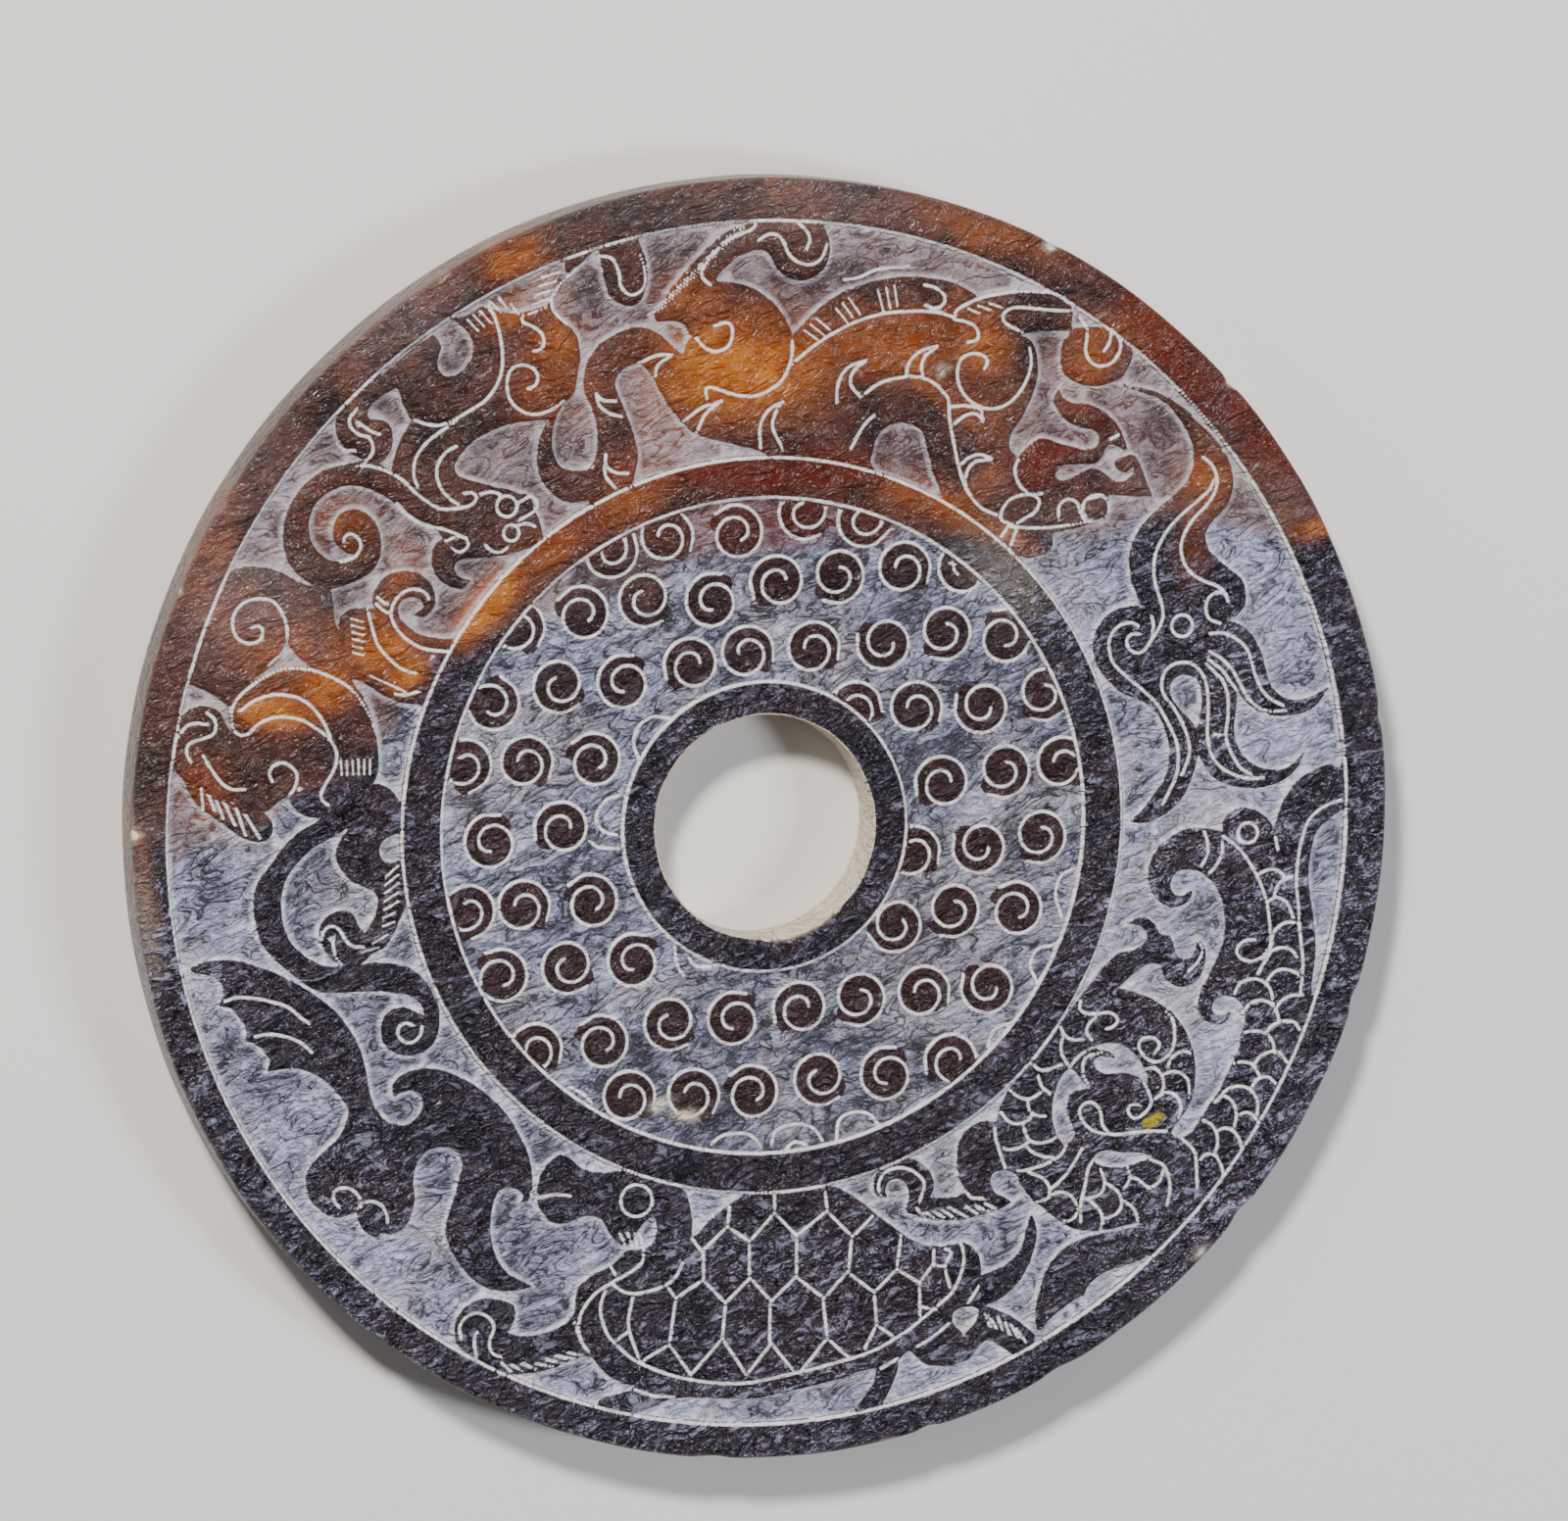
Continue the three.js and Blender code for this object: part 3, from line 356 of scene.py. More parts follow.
         73.9, -17, 73.7, -20, 73, -22.2, 71.7, -24.8, 70, -28, 69.5, -30, 70, -31.8, 71.2, -32.8, 72.7, -33.2,
         74, -32.9, 74.8, -31.5),
        (73.8, -31.9, 72.6, -32, 71.8, -31.3, 71.7, -30.2, 72.4, -29.2, 73.8, -28.8, 75.2, -29, 76.4, -29.9,
         77.1, -31.5, 77.2, -33, 76.7, -35, 76.2, -37, 75.2, -39.5, 74, -42, 72.8, -44.3, 71.5, -46, 70.3, -47.8,
         68.8, -50, 66.8, -51.2),
        (65.2, -50.3, 65.6, -49.2, 66.8, -47.7, 67.9, -46, 68.7, -44, 69, -42, 69, -39.5, 68.5, -37, 67.7, -34.8,
         66.5, -32.8, 65.3, -31.3, 64, -30.3, 62.5, -29.3, 60.5, -28.3, 58.5, -27.6, 56.4, -27.1),
        (58, -25.6, 59.8, -24.2, 61.5, -23.3, 62.8, -23.3, 63.7, -24, 64, -25, 64.5, -26, 65.6, -26.8, 67, -27.1,
         68.3, -26.8, 69.6, -25.8, 70.3, -24.3, 70.6, -22.5, 70.4, -21, 69.5, -19.9),
        (69.2, -21.2, 68.5, -22.5, 67.3, -23, 66, -22.4, 65.5, -20.9, 64.9, -19.2),
        (63.2, -18.8, 62.5, -17.5, 61.3, -16.5, 59.9, -16.2, 58, -16.9),
        (59.5, -17.1, 60.8, -17.8, 61.4, -19, 60.8, -20.3, 59, -21.2, 56.5, -21.7, 54.8, -23.2, 52.9, -25.4,
         51.5, -27.1, 50.2, -28.7, 47.5, -31.8),
        (46, -31, 50, -24, 53, -17, 55, -9, 55.8, -2),
        (58, -1.1, 61, -1.1, 64, 0.1, 66.5, 2.2, 68, 5, 69.4, 9.4),
        (70.3, 7.6, 71.5, 5.9, 73.5, 4.6, 76, 4, 78.5, 3.7, 81, 4.1, 83.5, 5.1, 85.5, 7, 86.4, 8.9),
        (84.5, 7.1, 82.8, 6.3, 80.5, 6.4, 78, 7.4, 76.3, 9.1, 75.3, 11, 75, 13.5, 75.3, 16.2, 75.6, 18.9),
        (76.5, 17.9, 78.5, 16.1, 81, 15.1, 84, 14.9, 86.5, 15.4, 88.5, 16.6, 90.2, 19),
        (88, 17.8, 86, 17.3, 84, 17.3, 82, 18.4, 80.7, 20, 80, 22.5, 79.3, 25, 78, 27.3, 76, 29.2, 73.9, 29.9),
        (75.5, 30.9, 76.6, 32.3, 76.8, 34, 76.3, 36, 75, 37.3, 73, 38.8, 71, 40.8, 70.3, 42.3, 70.3, 43.8,
         71.3, 45.5, 73.3, 47.5, 74.3, 49.5, 74.6, 52, 73.8, 55, 71.5, 58.5, 68, 61.7),
        (74, 62, 84, 46, 94, 20),
    ],
    "drop": [
        (67, 21.8, 65.5, 21.3, 64.6, 19.8, 65.2, 17.5, 67, 15.5, 68.5, 13.8, 69.3, 11.9),
        (69.5, 14.5, 69.9, 17, 69.8, 19.5, 69, 21.3),
    ],
    "back_edge": [
        (94, -0.5, 90.3, -1.7, 88.5, -3.5, 87.8, -5.5, 87.3, -8.5, 87.3, -12, 87.8, -15.5, 88.5, -22, 87.8, -28,
         88.5, -30.5),
        (92, -28, 95, -10),
    ],
}

# Cut lines of the beasts, each as x, y, x, y.
CUTS = {
    "tiger": [
        (-1, 90.3, .5, 91.2, 2, 91, 3, 89.8, 3.8, 88, 5.5, 86.7, 7.5, 86.5, 9, 87.5, 9.8, 89.5),
        (5.3, 92.8, 6.6, 91.5, 7, 90.2, 6.5, 88.8),
        (-1.5, 92.7, -2, 92, -4, 91.2, -6.5, 89.8, -8.5, 88, -9.8, 86, -9.8, 84.7, -8.5, 83.5),
        (-26, 88.3, -24, 87.9, -22.9, 85.6, -22.6, 83.6, -20.9, 82.2, -18.9, 83.6, -18.9, 86.3, -19.6, 88.3),
        (-10.8, 75.5, -9.5, 74, -7.8, 73.4, -6, 74, -5.2, 75.5, -5.2, 77, -6, 77.8, -8, 77.3),
        (4.3, 74.8, 4.1, 72, 2.8, 69, .5, 67.2, -2, 66.4, -5, 66.8, -8, 67.8, -9.3, 67.8, -9.2, 66.5),
        (4.3, 71.3, 8, 74.2, 13, 77, 18, 78.6, 23, 79, 27, 78.8, 29.5, 78.1),
        (25.2, 83, 26.8, 82.6, 28.3, 81.4, 28.2, 80, 26.8, 79.4, 25.4, 79.9),
        (16, 71.6, 13, 70.5, 11.5, 68, 11.3, 65.2), (16, 71.5, 14, 70, 13.5, 68, 15, 66),
        (2.8, 65.5, .5, 64.2, -.8, 61.8, -.7, 58.5), (2.8, 65.5, 1.5, 63.5, 1.2, 61.5, 2.5, 58.8),
        (-6.8, 65.8, -10, 64.8, -12.8, 62.8), (-7.2, 65.5, -9.3, 64, -10.8, 61),
        (-14.5, 73, -17, 73, -19.8, 71.8), (-14.8, 72.8, -16.8, 71.5, -17.2, 69.8),
        (27.2, 73.6, 24.5, 72.8, 22.7, 71, 22.3, 69.2), (27.2, 73.5, 25.3, 72, 24.7, 70.5, 24.9, 69),
        (17.3, 63.2, 15.5, 61.5, 13.5, 58),
        (15.8, 66.5, 18, 68, 21, 68.8, 24, 68.9, 26.5, 68, 28.3, 66.3, 29, 65.3, 29.2, 62, 29.8, 59, 30.5, 55.5,
         31.5, 52.2, 32.8, 50, 34.5, 48.3, 36.8, 47.3),
        (30, 77.6, 31.5, 77.3, 32.8, 76.8, 33.7, 75.7, 33.5, 74.4, 32, 74.1),
        (34.7, 69.9, 35.2, 71, 34.5, 72, 32.8, 72.3, 31, 71.5, 30.4, 69.5, 30.7, 67.5, 31.7, 65.8, 33.5, 64.3,
         36, 63.7, 38.5, 64.5, 40.7, 66.7, 42, 69.5, 42.2, 71.5, 41.9, 73),
        (29.5, 64.2, 31.5, 64.3, 33.5, 64),
        (30, 61.5, 31.5, 62.7, 33, 63, 34, 62.6, 34.5, 61.8), (34.2, 63.5, 34.6, 61.8),
        (31.1, 55.3, 32.3, 56.3, 34, 56.7, 35.9, 56),
        (35.9, 55.8, 33.6, 55.7, 32.3, 54.8, 31.8, 53.3, 31.9, 51.5),
        (48.9, 79.2, 48.5, 78.6, 44, 78.9, 40, 79.3, 38.2, 78.8, 37.6, 77.8, 38.3, 76.7, 40.8, 75.4),
        (30, 78, 30.3, 79, 32, 80, 34.5, 80.9, 37, 81.4, 40, 81.7, 45, 81.5, 47.3, 80.7),
        (50.2, 77.3, 51.1, 76, 51, 74, 50.8, 72.5, 51.5, 70.8, 53, 70, 54.8, 70.3, 56, 71.6, 56.5, 73.2, 56, 74.5,
         55, 75.6),
        (55, 75.5, 54.7, 73.8, 53.8, 72.3), (54.8, 58.6, 56.2, 59.3),
        (40.2, 55.7, 39.6, 54.5, 39.9, 52.8, 40.8, 51.3, 42.3, 50.4, 44, 50.5),
        (39, 45.5, 42, 45.2, 46, 45.2, 50, 45.7, 52, 46.2),
        (53, 49.8, 51, 49.3, 50.3, 47.8, 50.8, 46.2, 52.3, 45.8),
        (46.6, 46.9, 46.7, 48.5, 48, 49.5, 49.5, 49, 50, 47.5),
        (39.2, 45.8, 37.5, 46.5, 37.8, 48.5, 39.5, 50, 42, 50.3, 43.5, 49.5, 43, 47.8, 41.5, 46.8, 40, 46),
        (38.6, 45.6, 37.5, 44), (40, 45.4, 38.8, 42),
        (12.5, 84, 15, 84.3, 18, 85.5, 23, 85.8),
    ],
    "dragon": [
        (-54.7, 63.8, -52.9, 63.2, -50.8, 63, -48.3, 64, -45.7, 65.4, -43.6, 66.8, -41.8, 69.3, -41.1, 72.2,
         -41.3, 75.5, -42, 78.5, -43, 81),
        (-48.3, 63.6, -51.1, 61.8, -53.3, 60, -54.7, 57.8, -54.9, 55.3, -54.4, 53.9),
        (-48.2, 59.8, -50, 58.8, -51.2, 57, -51.3, 55, -50.5, 53, -49, 51.5, -47.5, 50.5),
        (-63.7, 57, -61.5, 57, -58.7, 56, -56.5, 54.6, -54.7, 52.8, -52.3, 51, -50.4, 50.2, -47.9, 50.3,
         -46.1, 50.7, -45.2, 51.7, -45.8, 52.6, -47.2, 52.5),
        (-57.5, 51.2, -55.5, 49.2, -53, 47.8, -50, 47, -47.8, 46.1, -46.6, 45.3, -46.6, 44.3, -47.6, 43.6,
         -48.4, 43.7),
        (-50, 45.3, -48.3, 45.9, -46.8, 45.8),
        (-31.5, 66.3, -33.5, 65, -36, 64.3, -38.3, 65, -40, 66.8, -40.4, 69.3, -39.8, 71.2, -38.3, 71.9,
         -36.5, 71.5, -35.6, 70.2, -36, 68.8, -37.2, 68.3),
        (-37.8, 79.5, -38, 78.5, -36.5, 77.8, -35, 76.7, -34.6, 75.2, -35.3, 74.2, -36.3, 74),
        (-28, 87.5, -31.5, 84.5, -33.2, 82, -33, 80, -31, 78),
        (-26.5, 67.3, -25.5, 66.3, -23.3, 66.1), (-26.5, 67.3, -26, 65.5, -24.5, 64.3, -22.5, 63.7),
        (-25, 58, -25, 56.3, -23.5, 55.2, -21.5, 55), (-25.3, 56, -25, 54.5, -23.7, 53),
        (-44.3, 52.4, -42.9, 52.7, -41.8, 52.4),
        (-38.5, 51, -36.5, 51.8, -35.5, 50.5, -36.5, 49.3, -38.5, 48.3), (-38.6, 47.5, -37.1, 47.7, -36.1, 47.2),
        (-43.8, 44.5, -42.9, 43.6, -41.4, 43.4, -40.4, 44.1),
        (-65.8, 45.6, -65.5, 46.5, -64.4, 46.7, -63.3, 45.6, -63.3, 44.2, -64.4, 43, -66.2, 42.5),
        (-63.7, 65.7, -64.8, 64.3, -64.6, 62.9, -63.3, 61.8, -61.9, 61.4, -61.2, 60, -61.5, 58.6, -62.6, 57.5),
        (-62.8, 63.2, -61.5, 62.3, -60.1, 61.8), (-66.6, 60.4, -65.5, 59.5, -63.9, 59.4),
        (-77.5, 27, -74.9, 29.5, -74.7, 32.9, -75.7, 35.5, -77.1, 36.9, -79.1, 37.2, -81.4, 36.6, -82.8, 34.9,
         -83, 32.9, -82.2, 31.2, -80.5, 30.4, -78.8, 30.9, -78.4, 32.4, -79.1, 33.1, -80.2, 32.8),
        (-62.1, 35.2, -61.5, 32.4, -60.5, 29.5, -58.3, 27, -56.5, 25.7, -54.7, 25.2),
        (-50, 28.4, -52.9, 28.8, -55.4, 29.9, -57.6, 32, -58.5, 34.2, -57.9, 36.3, -56.5, 37.7, -54.7, 38.1,
         -53.1, 37.4, -52.7, 36.5),
        (-60.8, 36, -59.7, 34.9, -58.7, 34.5), (-60.6, 37, -59.4, 36, -58.3, 35.8),
        (-57.9, 22.1, -56.5, 21.9, -54.7, 22.3),
    ],
    "wheel": [
        (-83.2, 20, -82.8, 21.4, -81.4, 23, -78.5, 25, -75.7, 26.2, -72.9, 26.4, -70.1, 25.9, -67.3, 24.7,
         -64.7, 23, -63, 20.8, -61.6, 18.3, -60.8, 16),
        (-81.9, 20.2, -79.9, 21.6, -77.1, 22.5, -74.3, 22.3, -72.3, 21.6, -70.6, 20.2, -69.2, 18.3, -68.1, 16),
        (-80.8, 16.6, -78.8, 18.3, -76.8, 19, -74.3, 19, -72, 18.3, -70.1, 17.1, -68.2, 15.5, -67.2, 13.8,
         -67.1, 12.1, -67.7, 10.4, -68.8, 8.7, -69.5, 7.3, -69.4, 6.2, -68.4, 5.4),
        (-77, 9.2, -77.5, 10.4, -77, 11.6, -75.6, 12.1, -73.9, 11.3, -73.2, 9.9, -73.6, 8.2, -74.7, 6.6),
        (-87.7, 13.5, -86.6, 11.6, -84.9, 9.3, -83.2, 8.2, -81.2, 8.2),
        (-88, 8.5, -87.7, 5.1), (-86.8, 7.3, -86, 5.1), (-85.7, 6.5, -84.6, 3.7), (-84.3, 5.9, -82.9, 2.8),
        (-82.6, 5.1, -81.2, 1.1), (-81.2, 4.2, -79, .6),
        (-91.4, 16.6, -90.2, 18.1, -88.8, 18.5, -87.6, 18.3),
        (-87.1, 20, -86, 19.2, -85.7, 17.8, -86.3, 16.6, -88.5, 15.9, -90, 15.2, -90.2, 13.8, -89.5, 12.5),
        (-83.5, 20.6, -83.2, 19.2, -82.9, 17.2, -81.8, 16.4),
        (-69.5, -15.3, -69.2, -13.9, -68, -13.2, -66.8, -13.8, -66, -15.2, -64.8, -16.4, -63, -16.6),
        (-67.8, -15.8, -67.4, -17.8, -66.5, -19.2),
    ],
    "wing": [
        (-84.5, -24.2, -82.8, -23.7, -79.9, -23.9, -77.1, -24.6, -74.9, -25.4, -72.9, -27.1, -71.5, -28.1),
        (-79.9, -29.8, -77.7, -29.5, -75.2, -30, -73.2, -30.8, -71.8, -31.9, -71.1, -32.6),
        (-55.7, -28.8, -56.5, -28.5, -57.5, -29, -57.8, -30.2, -56.8, -31.4, -55.4, -31.5, -54.3, -30.5, -54, -29.2),
        (-67, -56.6, -67.8, -55.6, -67.8, -54.2, -66.4, -53.6, -64.7, -54.2, -63.7, -55.6, -63.6, -56.7),
        (-64.2, -57, -63.6, -56.2, -62.2, -55.9, -60.5, -56.5, -59.6, -58.2, -59.5, -59.3),
        (-23, -62.5, -22, -64.7), (-21.8, -62.5, -20.9, -64.7), (-20.6, -62.6, -20.2, -64.7),
        (-19.8, -62.5, -19.2, -64.7), (-35.9, -56.5, -34.5, -56.1, -32.5, -56, -30.8, -56.3),
        (-19.2, -65.3, -19.5, -67, -21.2, -68.4, -23.2, -69.5, -25.7, -70.8, -27.1, -71.8, -28.5, -73.5,
         -29.4, -75.4, -29.5, -77.4, -29.1, -79.1, -28, -80.7),
        (-30.2, -76, -29.7, -77.7, -29.1, -79.1), (-24.6, -67.3, -23.5, -69.2),
        (-24, -70.4, -22.6, -71.5, -20.6, -71.9, -18.4, -71.6, -15.8, -70.8, -14.1, -69.4, -13.1, -67.4),
        (-48, -78, -48.3, -76.3, -47.7, -74.9, -46.3, -74, -44.9, -74, -43.5, -74.9, -42.9, -76.3, -43.5, -78,
         -43.6, -79.4, -42.9, -80.5, -41.9, -80.8),
        (-45.5, -76.9, -46, -77.7, -45.9, -79.4, -45.6, -80.8),
        (-41.7, -81.9, -40.2, -83.3), (-40.1, -82.2, -38.4, -83.3), (-38.3, -82.1, -36.4, -83.1),
        (-36.4, -82.2, -33.6, -82.8), (-34.6, -81.6, -31.8, -82.4), (-32.9, -81.1, -30.2, -81.8),
        (-31.2, -80.7, -29, -81.2), (-20.6, -87, -17.8, -88, -14.4, -88.4),
    ],
    "shell": [
        (-25.4, -71.5, -26.1, -73.5, -25.9, -75.7, -24.9, -78.3, -22.9, -80.5, -20.9, -82.2, -18.9, -83.3,
         -15, -84.9, -10.7, -86, -6.2, -86.6, -2.3, -86.6, 3.4, -85.7, 9, -84.6, 14.7, -83.3, 18.5, -81.9,
         22, -80, 24.5, -78.2, 28.1, -75.4, 30.1, -73.5, 31.4, -70.6, 31.8, -68.4, 31.4, -66.1),
        (-5.6, -59, -6, -62), (1.5, -57.5, 1.5, -60.2), (9.6, -57.5, 9.9, -60.2), (-11.6, -63.7, -9.9, -66),
        (27, -67, 26.9, -69.4), (26.9, -69.4, 28.7, -69.7), (28.8, -67, 29.8, -67.5, 28.8, -69.7, 29.5, -72.9),
        (25, -75.9, 27.3, -76.4), (-21, -72.5, -21.7, -77, -19.9, -82.5), (-24, -79.4, -22, -78),
        (-15.7, -70.8, -14.2, -72.9),
    ],
    "coil": [
        (19.5, -58.9, 18.4, -58, 18.1, -56.3, 19.1, -54.6, 21.1, -53.9, 23.1, -54.3, 24.7, -55.4, 25.4, -56.8,
         24.7, -59.2),
        (24.2, -60.4, 26, -62.5), (25.5, -61, 27.5, -62.4), (27, -61, 28.6, -62), (28.3, -60.8, 30.5, -62.3),
        (29.5, -60.5, 32.5, -62.2), (32.3, -60.5, 34, -61.7), (34, -60.5, 36, -61.5), (35.5, -60.2, 37, -61),
        (32.4, -58.4, 33, -59.1, 34.8, -59.2), (36.7, -48.1, 36.9, -50.3, 37.7, -52.6, 38.4, -54.6),
        (34.2, -73, 32.5, -75.6), (29.4, -78.7, 26.7, -80.8, 24.3, -82.1), (21.2, -83.9, 18.5, -85.3),
        (35.2, -77.5, 36, -79.4), (35.8, -77.7, 37, -79.7), (37.3, -78, 38, -80.1), (38.5, -79, 39.1, -80.8),
        (39.5, -79.5, 40.6, -81.4), (40.4, -80, 41.6, -81.8), (50.8, -52, 48.4, -55.7, 45.6, -58.4),
        (53.2, -53.4, 51.8, -55.1, 51.3, -57.7, 50.6, -60.5, 50.6, -63.6),
        (50.5, -28.8, 50.3, -30, 51.4, -30.8, 53.4, -30.8, 55.2, -30.8, 56.3, -31.6, 56.3, -32.5, 55.4, -33.1,
         54.7, -33.3),
        (52.9, -31.4, 51.7, -32.5, 51.4, -33.8, 52.3, -35), (47.3, -32.9, 47.8, -34, 49, -34.8, 50.9, -34.9),
        (47.6, -34.5, 47.3, -35.5, 47.4, -37, 48.1, -38.2, 48.7, -39.2), (48.9, -39, 50, -37.6, 51.8, -36.5),
        (53.9, -37, 52.5, -37.3, 51.2, -37.9, 50.8, -39.2, 51.2, -41, 52, -42.2),
        (64.3, -31, 65.2, -32, 65.6, -33.6, 65.6, -35.6, 65.1, -37.3, 63.9, -38.4, 62.5, -38.8, 61, -38.1,
         60.1, -37, 59.9, -35.9, 60.5, -35, 61.6, -34.9, 62.7, -35.3, 63.2, -36.2, 62.7, -37),
        (60.8, -42.1, 61.6, -43.8, 61.9, -45.2, 61.3, -46.3, 59.9, -47.4, 58.8, -47.4, 58.1, -46.3,
         58.5, -45.5, 59.6, -45.4),
        (55.1, -49.7, 54, -48.3, 53.7, -46.3, 52.6, -44.9, 51.2, -44.9, 50.3, -46, 50.9, -47.7, 52.3, -49.1,
         54.3, -49.8, 57.1, -50, 59.9, -49.7, 62.7, -49.7, 64.4, -49.8),
        (67, -51.1, 68.7, -52.8, 69.2, -54.5, 69.4, -59),
    ],
    "beast": [
        (69.5, -20.1, 70.1, -21.2, 69.8, -22.6, 69, -23.7, 67.8, -24.7),
        (73.3, -3.7, 75.5, -5.3, 77.3, -7.5, 78.8, -10, 80, -12.8, 80.7, -15.5, 81, -18.5, 81.1, -20.6,
         80.8, -22.9, 79.7, -24.3, 79.1, -25.3),
        (78.7, -20.2, 77.4, -20.1, 76.3, -20.6, 75.6, -21.8, 76.3, -23, 78, -23.5, 79.7, -22.9, 80.5, -21.8),
        (92.5, 1.4, 90.5, .8, 88.5, -.3, 87, -2, 86, -5, 85.4, -8.5, 85.3, -12, 85.6, -15, 85.9, -19.2,
         86.4, -23.5, 86.3, -26.3, 86, -28.8),
        (70.3, -2.9, 70.8, -4.5, 70.8, -6.5, 69.8, -8.3), (73.2, -4.7, 73.2, -6.3, 72.3, -8.2, 71.2, -9.4),
        (81.8, -4.1, 82.2, -6.1),
    ],
    "scales": [
        (79.2, -9.8, 80.5, -9.2, 82, -9.2, 83.2, -10.2), (81.7, -13, 82.5, -11.3, 84.3, -10.4),
        (80.4, -14.3, 82, -13.6, 83.8, -14.5, 84.7, -16.7),
        (81.1, -21.5, 81.6, -19.2, 82.5, -18.1, 83.9, -17.5, 85.6, -17.8),
        (79.4, -25.2, 80, -23.7, 81.1, -22.1, 83.1, -21.5, 84.7, -22.1, 85.3, -23),
        (80.5, -26.8, 81.6, -25.4, 83.3, -24.9, 85, -25.4, 86.2, -26.3),
        (75.4, -28.5, 76, -27.1, 77.7, -26.3, 79.7, -26.6, 81.1, -28, 81.6, -30.2),
        (77, -31.4, 77.7, -30.2, 79.4, -29.7, 81.1, -30.2, 82.2, -31.6, 82.5, -33),
        (81.9, -31.6, 82.8, -30, 84.5, -29.1, 86.4, -29.1),
        (80.5, -34.7, 81.6, -33.6, 83.3, -33.1, 85, -33.3, 85.9, -34.5),
        (77.1, -34.7, 78.8, -34.5, 80.5, -35, 81.6, -36.4, 81.9, -38.1),
        (78.7, -39.5, 79.7, -38.4, 81.4, -37.8, 82.8, -38.1, 83.8, -39.5),
        (75.4, -39.5, 76.8, -39.3, 78.3, -39.8, 79.4, -41.5),
        (78.3, -43.2, 79.1, -42.1, 80.8, -41.8, 82.1, -42.9),
        (72.9, -44.9, 74.3, -43.5, 76.3, -43.1, 78, -43.8, 79.1, -45.5, 79.1, -47.7),
        (72.3, -45.5, 73.7, -44.6, 75.2, -45.7, 75.7, -47.7, 75.4, -49.4),
        (75.7, -47.9, 77.1, -47.3, 78.3, -47.7, 79.2, -48.9),
        (70.4, -48.3, 71.8, -49.1, 72.6, -50.8, 72.6, -52.5, 72.1, -53.6),
        (72.6, -50, 74, -49.6, 75.4, -50.3, 76.3, -51.7, 76.6, -52.8),
        (69.9, -54.5, 70.9, -53.6, 72.3, -53.9, 73.2, -55.3, 73.6, -56.7),
        (64.6, -39.6, 65, -38.4, 66.1, -37.6, 67.3, -37.3, 68.2, -37.6),
        (61, -39.9, 62.5, -39.8, 63.6, -41, 63.9, -42.4, 63.7, -43.5),
        (63.9, -40.7, 65.3, -40.4, 66.7, -40.7, 67.8, -41.8, 68.1, -43.2, 68, -44.6),
        (62.5, -44.6, 63.9, -43.8, 65.3, -43.8, 66.4, -44.9, 66.8, -46.3, 66.4, -47.7),
        (42.5, -38.2, 44.3, -39.5, 47.2, -38.7), (43.6, -40.4, 44.3, -42.1, 45.6, -43.2),
        (38.6, -41.6, 40, -43.2, 42.1, -43.9, 44.1, -42.9),
        (37.7, -45.8, 38.8, -47.2, 40.3, -47.7, 42, -47.2, 42.8, -46.1),
        (42, -44.4, 42.2, -45.5, 43.4, -46.5, 44.9, -46.7),
        (41.2, -47.8, 41.7, -49.5, 42.5, -50.5, 43.9, -50.9, 45.6, -50.6, 46.6, -50.1),
        (37.2, -50.8, 38.3, -51.6, 39.7, -51.7, 41.1, -51.3, 42.2, -50.5),
        (42, -51.5, 42.8, -52.3, 44.5, -53, 45.9, -53.2),
        (48.3, -51.5, 47.3, -52.9, 45.6, -53.9, 43.6, -54.6, 41.4, -55.1, 40.4, -55.1),
        (42.2, -55.4, 44.2, -56.3, 45.3, -57.4, 45.5, -58.5, 45.3, -59.6, 43.6, -60.2),
        (45.9, -59.1, 47.3, -58.7, 49, -59.4, 50, -61.1, 49.8, -62.5, 48.9, -63.3, 48, -63.3),
        (53.8, -55.4, 54.4, -57.1, 54.1, -58.8, 53, -59.6, 51.3, -59.9),
        (51.3, -59.9, 53.2, -61.3, 54.1, -63, 53.9, -65),
        (54.9, -57.7, 56.6, -59.1, 57.2, -61, 56.3, -62.5, 54.6, -63.2), (57.7, -60.6, 59.2, -61.9, 59.9, -63.9),
        (58.2, -55.3, 58.5, -57, 57.7, -58.4), (58.5, -56.7, 59.9, -57.3, 61.6, -58.7),
        (61.9, -54.2, 63.9, -55.1, 64.7, -56.7, 65, -59, 64.5, -61.5), (63.9, -55.9, 63.3, -57.6, 61.9, -58.6),
    ],
    "phoenix": [
        (69.8, 55.5, 71.2, 54.3, 72, 52.3, 71.8, 50.3, 70.3, 48, 68.3, 46, 67, 44, 66.3, 42, 66.5, 40, 67.5, 38,
         69.5, 36.5, 72, 35.5, 73.5, 34.3, 73.9, 32.9),
        (71.5, 52, 70.8, 50.5, 69, 48.8, 66.5, 46.8, 64, 44.2, 62.3, 41, 61.9, 38, 62.3, 35.5, 63.2, 32.8,
         63.4, 30.8, 62.7, 29, 61.5, 27.2, 60.5, 25.8, 59.3, 25.3, 58, 26, 57.6, 27.2, 58.2, 28.2, 59.5, 28.3),
        (61.6, 31, 61.9, 29.5, 61.5, 28),
        (59.5, 29.5, 58, 30.1, 56.2, 29.5, 55, 28, 54.8, 26, 55.5, 23.8, 57.5, 21.8, 60, 19.7, 62.5, 17.3,
         64.5, 14, 65.8, 11, 66, 8, 65.5, 5.5, 63.5, 1.5),
        (73.5, 34, 72, 34.4, 70.7, 33.5, 70.3, 31.8, 71, 30.3, 72.7, 29.6),
        (66.5, 6, 67, 7, 67.8, 9.5, 67.5, 12, 66.5, 14.5, 65, 17, 63.5, 19, 63.4, 21.5, 64.8, 23.2, 67, 23.7,
         69, 22.8, 70.3, 20.8, 70.8, 18, 70.8, 15, 70.7, 12, 71.3, 9.3, 72.8, 7.2, 75, 5.9, 77.5, 5.2, 79.9, 5.3),
